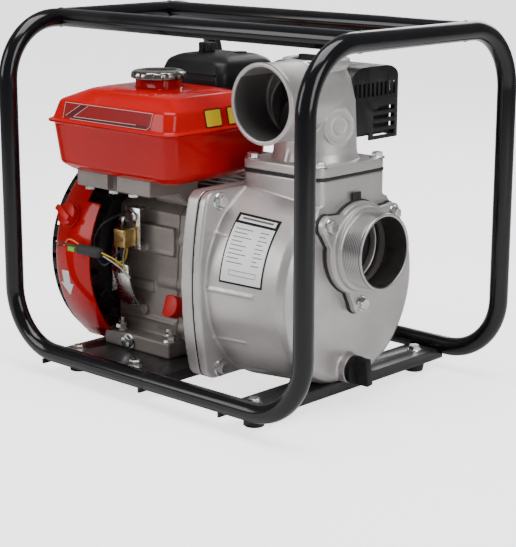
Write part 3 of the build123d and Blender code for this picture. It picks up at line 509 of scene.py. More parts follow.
def casting_paint(name, light, dark, rough, metal, grain):
    paint = Paint(name, light, rough, metal=metal)
    clouds = paint.ramp(paint.noise(14.0, 6, 0.6), 0.35, 0.7)
    specks = paint.ramp(paint.noise(650.0, 3, 0.7), 0.45, 0.62)
    paint.wear("Base Color", paint.blend(clouds * 0.55 + specks * 0.3, light, dark))
    paint.wear("Roughness", rough - 0.06 + clouds * 0.10 + specks * 0.06)
    paint.bump(paint.noise(1100.0, 3, 0.6) + paint.noise(160.0, 3) * 0.6, 0.0004, grain)
    return paint


engine_grey = casting_paint("engine_casting", (0.29, 0.255, 0.235), (0.19, 0.165, 0.15), 0.46, 0.3, 0.45)
SHAFT_Z, BOSS_R = 134, 9.5
case_bolts = [(-63, 58), (-64, 112), (-60, 166), (-44, 198), (8, 200), (48, 180), (64, 112), (62, 66)]
bosses = [drum((-90, y, z), PUMPWARD, BOSS_R, 33.2) for y, z in case_bolts]
ledges = [block((-158, -60), (-74.5, -70), (146, 150)), block((-120, -60), (-73.5, -69), (150, 180)),
          block((-150, -96), (-74.5, -70), (98, 110)), block((-156, -60), (-74, -69), (61, 65))]
block_skin = cast("crankcase_casting", engine_grey, "pump", "cast_grey", ["crankcase"], bosses + ledges,
                  voxel=1.4, passes=4)
BORE_START = Vector((-105, 0, SHAFT_Z)) * MM
BORE_WAY = Vector((0, math.cos(math.radians(25)), math.sin(math.radians(25))))
BORE_WALL, SKIRT_START = 34.8 * MM, 10 * MM
for vertex in block_skin.data.vertices:
    reach = (vertex.co - BORE_START).dot(BORE_WAY)
    out = vertex.co - BORE_START - BORE_WAY * reach
    if reach > SKIRT_START and 29 * MM < out.length < BORE_WALL:
        vertex.co = BORE_START + BORE_WAY * reach + out.normalized() * BORE_WALL
cover_ribs = [drum((-56.4, y, z), PUMPWARD, 10, 12.2) for y, z in case_bolts]
cast("crankcase_cover_casting", engine_grey, "pump", "cast_grey", ["crankcase_cover"], cover_ribs,
     voxel=1.2, passes=2)
bracket_nuts = [((x, -114, 226), DOWN) for x in (-160, -118, -84)]
finish(fuse("cover_fasteners", [
    fasteners("cover_heads", zinc, [((-44, y, z), PUMPWARD) for y, z in case_bolts], 6.2, 4.2, 8, 0.9, 3, 6),
    fasteners("bracket_heads", zinc, bracket_nuts, 6.2, 4.4, 8, 0.8, 3, 4)]), zinc, "pump", "zinc",
    "cover_bolts")

# Running gear inside the engine: ground steel bearings and crankshaft, turned alloy piston.
# They keep their CAD shapes; oil leaves them with a soft uneven shine.
steel = Paint("ground_steel", (0.46, 0.46, 0.47), 0.25, metal=1.0)
film = steel.ramp(steel.noise(50.0, 5), 0.35, 0.7)
steel.wear("Roughness", 0.2 + film * 0.2)
steel.wear("Base Color", steel.blend(film, (0.50, 0.50, 0.51), (0.34, 0.32, 0.29)))
steel.bump(steel.noise(500.0, 2, 0.5, steel.stretch((8, 1, 1))), 0.0001, 0.2)


def dress(node, paint):
    """A CAD node whose shape is right takes a finish."""
    for place in frame["nodes"][node].material_slots:
        place.material = paint.material


for node in ("main_bearings", "crankshaft", "recoil_spring", "mechanical_seal"):
    dress(node, steel)
dress("piston", engine_grey)

# Cylinder head, rocker cover and spark plug: a finned grey casting, a pressed cover with a
# bolted rim, and a black rubber cap over the plug.
cast("cylinder_head_casting", engine_grey, "pump", "cast_grey", ["cylinder_head"], voxel=1.1, passes=1)
crisp("rocker_cover", engine_grey, "pump", "cast_grey", edge=0.8)
crisp("spark_plug", rubber, "pump", "black_plastic", edge=0.8)

# Ignition coil and flywheel: the coil is potted plastic on a laminated core; the flywheel is
# an iron casting with its fan blades and a pressed starter cup.
iron = casting_paint("cast_iron_skin", (0.13, 0.13, 0.13), (0.07, 0.065, 0.06), 0.5, 0.7, 0.6)
black_plastic = Paint("moulded_black_plastic", (0.008, 0.008, 0.009), 0.42, Specular_IOR_Level=0.18)
haze = black_plastic.ramp(black_plastic.noise(22.0, 5), 0.4, 0.7)
black_plastic.wear("Roughness", 0.34 + haze * 0.14)
black_plastic.wear("Base Color", black_plastic.blend(haze * 0.4, (0.009, 0.009, 0.010), (0.02, 0.02, 0.02)))
black_plastic.bump(black_plastic.noise(1400.0, 2), 0.0002, 0.3)
dress("ignition_coil", black_plastic)
dress("flywheel", iron)

# Fan cover: deep drawn steel shroud over the flywheel, sprayed gloss red and baked.
# Its paint is thick, with a slight peel that shows only in the highlights.
red_paint = Paint("gloss_red_enamel", (0.44, 0.003, 0.004), 0.22, coat=0.2, Coat_Roughness=0.03,
                  Specular_IOR_Level=0.12)
film = red_paint.ramp(red_paint.noise(7.0, 5), 0.4, 0.75)
red_paint.wear("Base Color", red_paint.blend(film * 0.5, (0.46, 0.003, 0.004), (0.34, 0.002, 0.004)))
red_paint.wear("Roughness", 0.13 + film * 0.08)
red_paint.bump(red_paint.noise(240.0, 2), 0.0002, 0.06)
crisp("fan_cover", red_paint, "pump", "tank_red", edge=0.7, tidy=0.05)

# Recoil starter: slotted black cover bolted to the shroud, plastic reel, grip and rope end.
# The cover is a pressing with a ring of air slots round its rim and face.
crisp("recoil_cover", black_plastic, "pump", "black_plastic", edge=0.5)
crisp("recoil_reel", black_plastic, "reel", "black_plastic", edge=0.3)
crisp("starter_handle", black_plastic, "handle", "black_plastic", edge=0.8)

# Side plate: thin zinc plated screen curved round the crankcase behind the shroud.
crisp("side_plate", zinc, "pump", "zinc", edge=0.3)


# Fuel tank: two deep drawn shells seam welded at a flange that runs right round, gloss red.
# The upper shell has steep sides, a wide bevel and a raised flat with the filler neck.
def rounded_ring(x, y, z, corner, count=10):
    """Rounded rectangle of points at height z; sizes in mm."""
    made = []
    for cx, cy, start in ((x[1] - corner, y[1] - corner, 0), (x[0] + corner, y[1] - corner, 90),
                          (x[0] + corner, y[0] + corner, 180), (x[1] - corner, y[0] + corner, 270)):
        for i in range(count):
            a = math.radians(start + 90 * i / (count - 1))
            made.append(Vector((cx + corner * math.cos(a), cy + corner * math.sin(a), z)) * MM)
    return made


def softened(rows, radius, steps=4):
    """Rows of numbers as a smooth run: each inner corner is rounded by up to radius in z or inset."""
    made = [rows[0]]
    for before, here, after in zip(rows, rows[1:], rows[2:]):
        def toward(other):
            gap = max(abs(o - h) for o, h in zip(other, here)) or 1.0
            t = min(0.45, radius / gap)
            return [h + (o - h) * t for o, h in zip(other, here)]
        a, b = toward(before), toward(after)
        for s in range(steps + 1):
            t = s / steps
            made.append([p * (1 - t) ** 2 + q * 2 * t * (1 - t) + r * t ** 2 for p, q, r in zip(a, here, b)])
    return made + [rows[-1]]


X0, X1, Y0, Y1 = -190.0, 14.0, -150.0, 16.0


def tank_rings(rows):
    """Rows are (z, in from -X, in from +X, in from -Y, in from +Y, corner)."""
    return [rounded_ring((X0 + a, X1 - b), (Y0 + c, Y1 - d), z, r) for z, a, b, c, d, r in rows]


def around(ring, centre, radius, z):
    """A circle whose points lie the same way from its centre as the ring's do."""
    made = []
    for p in ring:
        way = Vector((p.x - centre[0] * MM, p.y - centre[1] * MM)).normalized()
        made.append(Vector((centre[0] * MM + way.x * radius * MM, centre[1] * MM + way.y * radius * MM,
                            z * MM)))
    return made


CAP = (-86, -70)
outer = softened([(306.2, -6, -6, -6, -6, 18), (307.6, -6, -6, -6, -6, 18), (308.2, -1, -1, -1, -1, 14),
                  (330, 5, 4, 5, 5, 15), (343, 32, 24, 27, 27, 20), (344.5, 40, 32, 34, 34, 20)], 3.0)
outer = tank_rings(outer)
flat_top = tank_rings([(345.4, 44, 36, 37, 37, 20), (346.0, 50, 42, 42, 42, 18)])
neck = [around(flat_top[-1], CAP, r, z) for r, z in (
    (33, 346.2), (28.5, 345.8), (27, 347.5), (27, 359.8), (26.6, 360.5), (25.8, 360.4), (25.4, 359.6),
    (25.4, 343), (28, 342.4))]
inner = tank_rings([(341.5, 50, 42, 42, 42, 18), (328, 8, 7, 8, 8, 12), (308, 3, 3, 3, 3, 11),
                    (306.2, 3, 3, 3, 3, 11)])
upper = loft("fuel_tank_upper_shell", outer + flat_top + neck + inner, closed=True)
tab = bmesh.new()
tab.from_mesh(upper)
ear = loft("ear", [rounded_ring((X0 - 22, X0 + 2), (-120, -92), z, 8) for z in (306.2, 307.0, 307.6)])
tab.from_mesh(ear)
tab.to_mesh(upper)
tab.free()
finish(new_object("fuel_tank_upper_shell", upper), red_paint, "pump", "tank_red", "fuel_tank_upper",
       sharp=50)
under = softened([(247, 34, 30, 32, 32, 12), (247.3, 17, 13, 15, 15, 14), (256, 6, 3, 4, 4, 14),
                  (303.6, 0, 0, 0, 0, 14),
                  (304.5, -6, -6, -6, -6, 18), (305.8, -6, -6, -6, -6, 18)], 3.0)
hollow = [(305.8, 2, 2, 2, 2, 12), (256, 9, 6, 7, 7, 12), (249, 20, 16, 18, 18, 12)]
floor_rows = [(248.6, 60, 56, 58, 58, 8)]
lower_rings = [[Vector((-88, -67,
                        247)) * MM for _ in range(40)]] + tank_rings(under) + tank_rings(hollow + floor_rows)
lower_rings += [[Vector((-88, -67, 248.6)) * MM for _ in range(40)]]
lower = loft("fuel_tank_lower_shell", lower_rings, caps=False)
finish(new_object("fuel_tank_lower_shell", lower), red_paint, "pump", "tank_red", "fuel_tank_lower",
       sharp=50)


# Tank decals: thin printed vinyl, a bordered maroon panel with two slanting stripes on the
# near side, and two plain yellow squares with black borders on the end. They carry no words.
def printed(name, colour, rough=0.3):
    paint = Paint(name, colour, rough, coat=0.1, Coat_Roughness=0.06, Specular_IOR_Level=0.15)
    fade = paint.ramp(paint.noise(40.0, 5), 0.3, 0.8)
    paint.wear("Base Color", paint.blend(fade * 0.3, colour, tuple(c * 0.7 for c in colour)))
    paint.wear("Roughness", rough + fade * 0.08)
    return paint


def on_side(u, v, lift):
    """Place on the tank's near side: u along X, v up from the seam, lift off the paint."""
    slope = 5.6 / 21.8
    return Vector((u, Y0 - 0.9 + slope * (v - 308.4) - 0.1 - lift, v)) * MM


def on_end(u, v, lift):
    slope = 4.8 / 21.8
    return Vector((X1 + 0.9 - slope * (v - 308.4) + 0.1 + lift, u, v)) * MM


def vinyl(name, where, shapes, paint, slot, lift=0.1):
    """Flat shapes with a little thickness laid on a surface."""
    parts = []
    for outline in shapes:
        parts.append(loft("vinyl", [[where(u, v, h) for u, v in outline] for h in (lift, lift + 0.12)]))
    return finish(merge(name, parts), paint, "pump", slot)


def box_of(u0, v0, u1, v1, corner=1.5):
    return [tuple(p) for p in eased([(u0, v0), (u1, v0), (u1, v1), (u0, v1)], corner)]


def line_of(a, b, width):
    a, b = Vector(a), Vector(b)
    off = (b - a).orthogonal().normalized() * width / 2
    return [tuple(a + off), tuple(b + off), tuple(b - off), tuple(a - off)]


deep_red = printed("decal_maroon", (0.09, 0.003, 0.006))
decal_red = printed("decal_red", (0.24, 0.003, 0.004))
pale = printed("decal_outline", (0.62, 0.46, 0.44))
black_ink = printed("black_ink", (0.012, 0.012, 0.012))
yellow = printed("yellow_vinyl", (0.78, 0.56, 0.02))
vinyl("tank_decal_panel", on_side, [box_of(-164, 310, -16, 328.5)], decal_red, "tank_red", 0.1)
vinyl("tank_decal_stripes", on_side, [[(-160, 313.5), (-138, 327), (-124, 327), (-146, 313.5)],
                                      [(-152, 310.6), (-22, 310.6), (-17, 314.5), (-146, 313.0)]],
                                      deep_red, "tank_red", 0.24)
vinyl("tank_decal_lines", on_side, [line_of(a, b, 0.55) for a, b in (
    ((-164, 328.3), (-16, 328.3)), ((-164, 310.1), (-164, 328.3)), ((-16, 328.3), (-17, 314.5)),
    ((-17, 314.5), (-22, 310.4)),
    ((-22, 310.4), (-152, 310.4)), ((-160, 313.5), (-138, 327)), ((-146, 313.5), (-124, 327)),
    ((-146, 313.2), (-40, 313.9)))],
      pale, "plate_white", 0.38)
vinyl("tank_label_borders", on_end, [box_of(-93, 309.6, -66, 330.2, 2), box_of(-57, 309.6, -30, 330.2, 2)],
      black_ink, "black_plastic", 0.1)
vinyl("tank_label_squares", on_end, [box_of(-91.4, 311.0, -67.6, 328.8, 1.2),
                                     box_of(-55.4, 311.0, -31.6, 328.8, 1.2)],
      yellow, "brass_box", 0.24)

# Fuel cap: chrome plated pressing with a scalloped grip rim and a slightly dished top.
chrome = Paint("chrome_plate", (0.42, 0.38, 0.36), 0.14, metal=1.0)
smear = chrome.ramp(chrome.noise(40.0, 6), 0.4, 0.7)
chrome.wear("Roughness", 0.12 + smear * 0.14)
chrome.wear("Base Color", chrome.blend(smear * 0.5, (0.34, 0.30, 0.28), (0.20, 0.17, 0.155)))
cap_rings = []
for radius, z, bite in ((0.01, 364.0, 0), (18, 364.2, 0), (24.5, 365.5, 0), (28.5, 365.8, 0.02),
                        (30.9, 364.6, 0.3),
                        (32.2, 362.4, 0.8), (32.5, 360, 0.8), (32.4, 357.6, 0.8), (31.2, 357.1, 0.7),
                        (27.9, 357.2, 0),
                        (27.5, 358, 0), (27.4, 360.9, 0), (0.01, 361.0, 0)):
    ring = []
    for i in range(144):
        a = 2 * math.pi * i / 144
        r = radius - bite * 1.7 * max(0.0, math.cos(a * 12)) ** 1.2
        ring.append(Vector((CAP[0] + math.cos(a) * r, CAP[1] + math.sin(a) * r, z)) * MM)
    cap_rings.append(ring)
finish(new_object("fuel_cap_shell", loft("fuel_cap_shell", cap_rings, caps=False)), chrome, "tank_cap",
       "chrome", "fuel_cap", sharp=60)

# Tank brackets: cast arms from the top of the crankcase to the tank floor.
cast("tank_bracket_castings", engine_grey, "pump", "cast_grey", ["tank_brackets"],
     [drum((x, -114, 226), UP, 9, 20) for x in (-160, -118, -84)], voxel=1.1, passes=3)


# Air cleaner: moulded black box with a snap-on cover, a round knob on its stud and a round
# boss beside it. The foam element inside keeps its CAD shape.
crisp("air_cleaner_base", black_plastic, "pump", "black_plastic", edge=0.8)
rows = softened([(338.3, -184, -72, 21, 128, 12), (342, -184, -72, 21, 128, 12),
                 (352, -183, -73, 22, 127, 13),
                 (366, -179, -78, 26, 122, 16), (372, -168, -90, 38, 110, 14),
                 (373, -160, -98, 46, 102, 12)], 4.0)
STUD = (-141, 66)
lid = [rounded_ring((a, b), (c, d), z, r) for z, a, b, c, d, r in rows]
top = around(lid[-1], STUD, 3.4, 373.8)
mid = around(lid[-1], STUD, 12, 373.9)
inside = [rounded_ring((a, b), (c, d), z, r) for z, a, b, c, d, r in (
    (370, -158, -100, 48, 100, 9), (363, -176, -81, 29, 119, 12), (338.3, -182, -74, 23, 126, 11))]
cover = loft("air_cleaner_lid", lid + [mid, top, around(lid[-1], STUD, 3.4, 371.6)] + inside, closed=True)
whole = bmesh.new()
whole.from_mesh(cover)
for part in (drum((-108, 92, 367), UP, 9, 7.5, 8), block((-172, -84), (19.8, 22), (342.5, 345)),
             block((-172, -84), (20.2, 23), (350, 352.5))):
    whole.from_mesh(part)
whole.to_mesh(cover)
whole.free()
finish(new_object("air_cleaner_lid", cover), black_plastic, "cleaner_cover", "black_plastic",
       "air_cleaner_cover", sharp=45)
crisp("air_cleaner_nut", black_plastic, "cleaner_nut", "black_plastic", edge=0.9)
foam = Paint("filter_foam", (0.04, 0.04, 0.04), 0.9)
foam.bump(foam.cells(900.0), 0.0008, 0.9)
foam.wear("Base Color", foam.blend(foam.ramp(foam.cells(700.0), 0.2, 0.6), (0.02, 0.02, 0.02),
                                   (0.07, 0.065, 0.05)))
dress("air_filter_element", foam)

# Carburettor and its levers: small bright die casting with a float bowl, black plastic choke
# and fuel levers, and a steel throttle arm on the control plate.
crisp("carburettor", engine_grey, "pump", "cast_grey", edge=0.6)
crisp("choke_lever", black_plastic, "choke", "black_plastic", edge=0.5)
crisp("fuel_valve_lever", black_plastic, "fuel_valve", "black_plastic", edge=0.5)
crisp("throttle_lever", black_plastic, "throttle", "black_steel", edge=0.5)

# Muffler and guard: welded steel can under a pressed guard with upright slots above and
# louvres below, both in heat resistant matt black.
stove_black = Paint("stove_black", (0.009, 0.009, 0.009), 0.5, Specular_IOR_Level=0.3)
burn = stove_black.ramp(stove_black.noise(26.0, 6, 0.7), 0.5, 0.75)
stove_black.wear("Base Color", stove_black.blend(burn * 0.5, (0.009, 0.009, 0.010), (0.035, 0.028, 0.023)))
stove_black.wear("Roughness", 0.42 + burn * 0.2)
stove_black.bump(stove_black.noise(500.0, 4), 0.0003, 0.35)
crisp("muffler", stove_black, "pump", "black_steel", edge=0.8)
crisp("muffler_guard", stove_black, "pump", "black_steel", edge=0.5)

# Engine switch: red moulded rotary knob with a bar grip, in a round collar on the shroud.
red_plastic = Paint("moulded_red_plastic", (0.48, 0.006, 0.006), 0.32, Specular_IOR_Level=0.2)
cloud = red_plastic.ramp(red_plastic.noise(60.0, 4), 0.4, 0.7)
red_plastic.wear("Base Color", red_plastic.blend(cloud * 0.3, (0.48, 0.006, 0.006), (0.36, 0.004, 0.004)))
red_plastic.wear("Roughness", 0.28 + cloud * 0.12)
red_plastic.bump(red_plastic.noise(900.0, 2), 0.0002, 0.15)
crisp("switch_housing", red_plastic, "pump", "red_plastic", edge=0.9)
crisp("switch_knob", red_plastic, "knob", "red_plastic", edge=1.1)

# Low oil unit: yellow chromated box on a folded zinc bracket with a round-headed screw.
brass = Paint("yellow_chromate", (0.62, 0.43, 0.16), 0.3, metal=0.9)
rainbow = brass.ramp(brass.noise(50.0, 4), 0.35, 0.7)
brass.wear("Base Color", brass.blend(rainbow, (0.66, 0.47, 0.18), (0.48, 0.28, 0.10)))
brass.wear("Roughness", 0.24 + rainbow * 0.16)
brass.bump(brass.noise(500.0, 2), 0.0002, 0.2)
crisp("oil_alert_unit", brass, "pump", "brass_box", edge=1.4)
crisp("oil_alert_bracket", zinc, "pump", "zinc", edge=0.35)


# Wiring: insulated leads between the switch, the low oil unit and the engine, with a heat
# shrink sleeve and a green tag. Each lead is a short run fixed at both ends.
def lead(name, points, radius, paint):
    line = bpy.data.curves.new(name, "CURVE")
    line.dimensions, line.bevel_depth, line.bevel_resolution, line.resolution_u = "3D", radius * MM, 3, 8
    line.use_fill_caps = True
    run = line.splines.new("NURBS")
    run.points.add(len(points) - 1)
    for spot, p in zip(run.points, points):
        spot.co = (*(Vector(p) * MM), 1)
    run.order_u, run.use_endpoint_u = 3, True
    return settle(new_object(name, line))


def insulation(name, colour):
    paint = Paint(name, colour, 0.35)
    paint.wear("Roughness", 0.3 + paint.noise(90.0) * 0.2)
    paint.bump(paint.noise(800.0, 2), 0.0001, 0.2)
    return paint


black_lead = insulation("black_insulation", (0.01, 0.01, 0.01))
white_lead = insulation("white_insulation", (0.6, 0.6, 0.58))
yellow_lead = insulation("yellow_insulation", (0.7, 0.48, 0.03))
orange_lead = insulation("orange_insulation", (0.75, 0.2, 0.02))
earth = lead("earth_lead", [(-120, -76, 198), (-132, -112, 190), (-146, -124, 168), (-148, -122, 144),
                            (-134, -120, 130),
                            (-124, -116, 138), (-120, -98, 154)], 1.4, black_lead)
finish(earth, black_lead, "pump", "wire_black", "engine_wires")
finish(lead("sensor_lead_yellow", [(-110, -143, 155), (-98, -133, 148), (-94, -118, 134),
                                   (-104, -112, 128), (-112, -118, 136),
                                   (-102, -122, 142), (-112, -102, 138), (-116, -96, 154)], 0.9,
                                   yellow_lead), yellow_lead, "pump", "wire_black")
finish(lead("sensor_lead_white", [(-110, -141, 151), (-102, -130, 142), (-96, -110, 122),
                                  (-104, -106, 118), (-110, -112, 128),
                                  (-102, -114, 132), (-122, -100, 138), (-124, -92, 154)], 0.9,
                                  white_lead), white_lead, "pump", "wire_black")
finish(lead("switch_lead", [(-152, -143, 156), (-168, -147, 158), (-184, -145, 156), (-196, -138.4, 150),
                            (-200, -134, 149.5)],
            1.2, black_lead), black_lead, "pump", "wire_black")
finish(lead("switch_lead_orange", [(-152, -141, 158), (-160, -143, 163), (-170, -143.5, 163),
                                   (-176, -141, 158), (-184, -138, 152)],
            0.9, orange_lead), orange_lead, "pump", "wire_black")
sleeve = [ring_of(Vector((x, -143, 154)) * MM, PUMPWARD, r * MM, 32) for x, r in (
    (-152, 3.4), (-151.6, 5.0), (-149, 6.3), (-140, 6.5), (-132, 6.1), (-124, 6.5), (-114, 6.4),
    (-110.6, 5.2), (-110, 3.6))]
finish(new_object("connector_boot", loft("connector_boot", sleeve)), rubber, "pump", "wire_black",
       "connector_sleeve", sharp=70)
green = insulation("green_tag", (0.16, 0.50, 0.04))
finish(merge("lead_tag", [block((-164, -153), (-149.0, -142), (150.5, 155.5))]), green, "pump",
       "plate_white")

# Oil fittings: hex drain plug with its washer in the foot, and a red moulded dipstick cap
# with a broad thumb grip in the filler boss.
crisp("oil_drain_plug", zinc, "pump", "zinc", edge=0.5)
crisp("oil_dipstick", red_plastic, "dipstick", "red_plastic", edge=1.4)

# Pump end castings: the adapter plate on the engine and the bowl bolted to it are one silver
# lacquered aluminium pair, with ribs on the drum, a box neck above and a seam between them.
SILVER_LIGHT, SILVER_DARK = (0.53, 0.50, 0.492), (0.41, 0.385, 0.377)
silver = casting_paint("silver_casting", SILVER_LIGHT, SILVER_DARK, 0.36, 0.62, 0.3)
cast("pump_back_plate_casting", silver, "pump", "cast_alu", ["pump_back_plate"], voxel=1.3, passes=2,
     keep=0.4)
cast("pump_casing_casting", silver, "pump", "cast_alu", ["pump_casing"], voxel=1.35, passes=7, keep=0.42)
PORT_Z, OUT_X, OUT_Z = 180.5, 96, 344
neck_bolts = [(OUT_X + sx * 50, sy * 50) for sx in (-1, 1) for sy in (-1, 1)]
joint_bolts = [(y, SHAFT_Z + z) for y in (-100, 100) for z in (-97, 97)]
EAR_R = 64
port_bolts = [(EAR_R * math.cos(a), PORT_Z + EAR_R * math.sin(a)) for a in map(math.radians, (30, 150, 270))]
finish(fuse("pump_fasteners", [
    fasteners("joint_bolts", zinc, [((43, y, z), PUMPWARD) for y, z in joint_bolts], 7.4, 5.4, 10.5, 1.8,
              4, 22),
    fasteners("neck_bolts", zinc, [((x, y, 275), UP) for x, y in neck_bolts], 6.8, 5, 9.2, 1.4, 3.4, 26),
    fasteners("port_bolts", zinc, [((167, y, z), PUMPWARD) for y, z in port_bolts], 7.4, 5.4, 9.6, 1.6,
              3.4, 14)]),
    zinc, "pump", "zinc", "pump_bolts")

# Inside the pump: iron volute and impeller, steel seal seat. They keep their CAD shapes.
dress("volute", iron)
dress("impeller", iron)

# Gaskets: thin black fibre and rubber sheet squeezed in the joints, a hair proud of them.
gasket_black = Paint("gasket_sheet", (0.012, 0.012, 0.012), 0.6)
gasket_black.bump(gasket_black.noise(600.0, 3), 0.0002, 0.4)
gasket_black.wear("Roughness", 0.5 + gasket_black.noise(80.0) * 0.2)
crisp("gaskets", gasket_black, "pump", "gasket", edge=0.3)
crisp("suction_gasket", gasket_black, "pump", "gasket", edge=0.6)

# Rating plate: printed foil wrapped on the drum, white with a black border and head band.
# Ruled lines stand in for its entries.
plate_white = Paint("printed_foil", (0.78, 0.78, 0.77), 0.35, coat=0.3, Coat_Roughness=0.15)
plate_white.wear("Roughness", 0.3 + plate_white.noise(70.0) * 0.12)
plate_white.wear("Base Color", plate_white.blend(plate_white.noise(25.0) * 0.4, (0.80, 0.80, 0.79),
                                                 (0.66, 0.66, 0.65)))


DRUM_R, DRUM_SLOPE = 124, 8 / 101


def on_drum(x, angle, lift):
    """Place on the bowl's side: angle above the near side, lift off the metal."""
    r = DRUM_R - (x - 41) * DRUM_SLOPE + 0.05 + lift
    a = math.radians(angle)
    return Vector((x, -r * math.cos(a), SHAFT_Z + r * math.sin(a))) * MM


def foil(name, shapes, paint, slot, low, high, *nodes):
    """Foil shapes on the drum: each is (x0, x1, angle0, angle1), cut fine enough to bend."""
    parts = []
    for x0, x1, a0, a1 in shapes:
        steps = max(1, round(abs(a1 - a0) / 1.5))
        rings = []
        for i in range(steps + 1):
            a = a0 + (a1 - a0) * i / steps
            rings.append([on_drum(x0, a, low), on_drum(x1, a, low), on_drum(x1, a, high),
                          on_drum(x0, a, high)])
        parts.append(loft("foil", rings))
    return finish(merge(name, parts), paint, "pump", slot, *nodes)


foil("rating_plate_border", [(62, 122, 5.5, 44.5)], black_ink, "black_plastic", 0.1, 0.45)
foil("rating_plate_face", [(64, 120, 6.6, 38.2), (66, 118, 39.8, 43.0)], plate_white, "plate_white", 0.3,
     0.6, "spec_plate")
rules = [(68, 68 + w, 35.6 - 2.3 * i, 35.1 - 2.3 * i) for i,
         w in enumerate((24, 18, 26, 15, 22, 19, 25, 16, 23))]
rules += [(103, 103 + w, 35.6 - 2.3 * i, 35.1 - 2.3 * i) for i,
          w in enumerate((12, 9, 13, 8, 12, 10, 13, 7, 11))]
rules += [(74, 112, 10.4, 10.1), (74, 112, 13.0, 12.7), (74, 74.5, 10.4, 12.7), (111.5, 112, 10.4, 12.7),
          (70, 114, 42.2, 41.0)]
grey_ink = printed("grey_ink", (0.12, 0.12, 0.12))
foil("rating_plate_rules", rules, grey_ink, "black_plastic", 0.5, 0.7)

# Suction port: three-eared flange casting with a machined spigot. A fine pipe thread runs
# along the spigot and the mouth is faced; the thread roots and the bore are darkened as painted shade.
cast("suction_flange_casting", silver, "pump", "cast_alu", ["suction_flange"], voxel=0.9, passes=3, keep=0.5,
                  cut=[block((174.5, 210), (-60, 60), (120, 240)),
                       drum((150, 0, PORT_Z), PUMPWARD, 41.5, 60)])
machined = Paint("machined_alloy", (0.58, 0.58, 0.58), 0.3, metal=0.95)
rings_cut = machined.noise(60.0, 2, 0.5, machined.stretch((60, 1, 1)))
machined.wear("Roughness", 0.24 + rings_cut * 0.16)
turned_skin = machined.blend(machined.ramp(machined.noise(20.0), 0.3, 0.7), (0.56, 0.55, 0.545),
                             (0.42, 0.41, 0.405))
# Painted shade: within 43.2 mm of the port axis and short of the faced mouth, the thread roots and the
# spigot's bore are coloured dark.
painted_groove_shade = machined.inside(1, 2, (0, PORT_Z), 43.2) * (machined.along(0) < 0.1985)
machined.wear("Base Color", machined.blend(painted_groove_shade, turned_skin, (0.14, 0.13, 0.125)))
machined.bump(rings_cut, 0.0002, 0.3)
PITCH, CREST, ROOT, TURN = 2.309, 43.9, 42.7, 120
rings = []
steps = int((198.0 - 174.0) / PITCH * 8)
for k in range(steps + 1):
    x = 174.0 + (198.0 - 174.0) * k / steps
    ends = min(1.0, (198.0 - x) / 2.0 + 0.05, (x - 174.0) / 1.5 + 0.05)
    ring = []
    for j in range(TURN):
        phase = (x / PITCH - j / TURN) % 1.0
        r = ROOT + (CREST - ROOT) * (1 - abs(2 * phase - 1)) * ends
        a = 2 * math.pi * j / TURN
        ring.append(Vector((x, r * math.cos(a), PORT_Z + r * math.sin(a))) * MM)
    rings.append(ring)


def circle(x, r):
    return [Vector((x, r * math.cos(2 * math.pi * j / TURN),
                    PORT_Z + r * math.sin(2 * math.pi * j / TURN))) * MM for j in range(TURN)]


rings = [circle(168, 40), circle(168, 42.7)] + rings + [circle(x, r) for x, r in (
    (198.6, 43.5), (199.6, 43.3), (200, 42.8), (200, 41.0), (199.6, 40.4), (198.8, 40.0))]
finish(new_object("suction_spigot", loft("suction_spigot", rings, closed=True)), machined, "pump",
       "cast_alu", sharp=50)
# Painted shade: the bore wall takes the darker engine grey so that the inside of the port reads as shaded.
finish(merge("suction_bore_wall", [loft("bore", [circle(x, r) for x, r in (
    (160, 40), (160, 41.6), (198.4, 41.6), (198.4, 40))], closed=True)]), engine_grey, "pump", "cast_alu")
dress("check_valve", rubber)

# Discharge elbow: silver casting with a round nozzle towards the near side, a filler lip on
# top and a ringed boss on its side; it is bolted down on the neck.
boss_way = Vector((math.cos(math.radians(14)), -math.sin(math.radians(14)), 0))
boss_face = Vector((OUT_X, 0, 316)) + boss_way * 46.6
boss_rings = [loft("ring", [ring_of((boss_face + boss_way * h) * MM, boss_way, r * MM, 64) for r, h in (
    (R, -1.0), (R, 1.0), (R - 1.4, 1.0), (R - 1.4, -1.0))], closed=True) for R in (20.5, 11.0)]
# Painted shade: the inside of the nozzle, within 40.8 mm of its axis on the near side and below its top, is
# coloured dark.
silver_with_painted_throat_shade = casting_paint("silver_elbow_casting", SILVER_LIGHT, SILVER_DARK, 0.36, 0.62, 0.3)
painted_throat_shade = silver_with_painted_throat_shade.inside(0, 2, (OUT_X, OUT_Z),
                             40.8) * (silver_with_painted_throat_shade.along(1) < 0.0) * (silver_with_painted_throat_shade.along(2) < 0.372)
tone = silver_with_painted_throat_shade.ramp(silver_with_painted_throat_shade.noise(14.0, 6, 0.6), 0.35, 0.7)
silver_with_painted_throat_shade.wear("Base Color", silver_with_painted_throat_shade.blend(painted_throat_shade,
                                                   silver_with_painted_throat_shade.blend(tone * 0.6, SILVER_LIGHT, SILVER_DARK),
                                                   (0.18, 0.17, 0.165)))
cast("discharge_elbow_casting", silver_with_painted_throat_shade, "pump", "cast_alu", ["discharge_elbow"], boss_rings,
     voxel=1.1, passes=6, keep=0.5)

# Plugs: black moulded screw plugs with a bar grip, one in the filler lip on top of the elbow
# and one in the drain boss at the foot of the bowl.
crisp("priming_plug", black_plastic, "priming", "black_plastic", edge=1.0)
crisp("drain_plug", black_plastic, "drain", "black_plastic", edge=1.4)

# Direction mark: a plain white arrow of vinyl on the shroud, pointing down the spin.
SHROUD_R = 135


def on_shroud(x, angle, lift):
    a = math.radians(angle)
    r = SHROUD_R + 0.02 + lift
    return Vector((x, -r * math.cos(a), SHAFT_Z + r * math.sin(a))) * MM


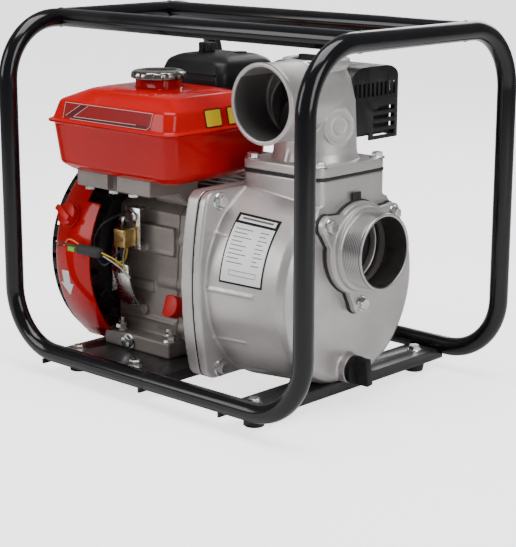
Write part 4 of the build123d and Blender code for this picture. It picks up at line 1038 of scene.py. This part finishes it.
shapes = [loft("stem", [[on_shroud(-193, a, 0.05), on_shroud(-181, a, 0.05), on_shroud(-181, a, 0.2),
                         on_shroud(-193, a, 0.2)]
                        for a in (-6 - 7 * i / 8 for i in range(9))])]
shapes.append(loft("head", [[on_shroud(-187 - w, a, 0.05), on_shroud(-187 + w, a, 0.05),
                             on_shroud(-187 + w, a, 0.2),
                             on_shroud(-187 - w, a, 0.2)] for a,
                             w in ((-13 - i, 11.5 - 1.6 * i) for i in range(8))]))
finish(merge("shroud_arrow", shapes), plate_white, "pump", "plate_white")

# Studio: pale floor that sweeps up into a backdrop, a big soft lamp overhead, one each side.
sweep = [(-3.0, 0.0), (2.2, 0.0), (3.0, 0.12), (3.6, 0.5), (3.9, 1.1), (4.0, 4.0)]
run = softened([list(p) for p in sweep], 0.5, 8)
back = Vector((ahead.x, ahead.y, 0)).normalized()
across = Vector((-back.y, back.x, 0))
verts = [tuple(back * d + across * w + Vector((0, 0, h - 0.0002))) for d, h in run for w in (-6, 6)]
mesh = bpy.data.meshes.new("floor")
mesh.from_pydata(verts, [], [(2 * i, 2 * i + 1, 2 * i + 3, 2 * i + 2) for i in range(len(run) - 1)])
floor = new_object("floor", mesh)
pale_floor = Paint("pale_floor", (0.8, 0.8, 0.8), 0.8, Emission_Strength=1.9)
pale_floor.wear("Emission Color", pale_floor.node("ShaderNodeLightPath", out="Is Camera Ray"))
floor.data.materials.append(pale_floor.material)
floor.data.shade_smooth()
sky = bpy.data.worlds.new("studio")
sky.use_nodes = True
sky.node_tree.nodes["Background"].inputs["Color"].default_value = (0.95, 0.97, 1.0, 1)
sky.node_tree.nodes["Background"].inputs["Strength"].default_value = 0.22
bpy.context.scene.world = sky


def softbox(name, place, target, size, power):
    lamp = bpy.data.lights.new(name, "AREA")
    lamp.shape, lamp.size, lamp.size_y, lamp.energy = "RECTANGLE", size[0], size[1], power
    made = bpy.data.objects.new(name, lamp)
    bpy.context.scene.collection.objects.link(made)
    made.location = place
    made.rotation_euler = (Vector(target) - Vector(place)).to_track_quat("-Z", "Y").to_euler()


softbox("overhead", (0.1, -0.2, 1.9), (0, 0, 0.1), (1.6, 1.2), 44)
softbox("left", (-1.1, -1.7, 1.0), (0, 0, 0.2), (0.9, 1.2), 17)
softbox("right", (1.9, -0.2, 0.9), (0, 0, 0.2), (0.8, 1.2), 18)
softbox("behind", (-0.6, 1.8, 1.2), (0, 0, 0.2), (1.2, 0.8), 14)
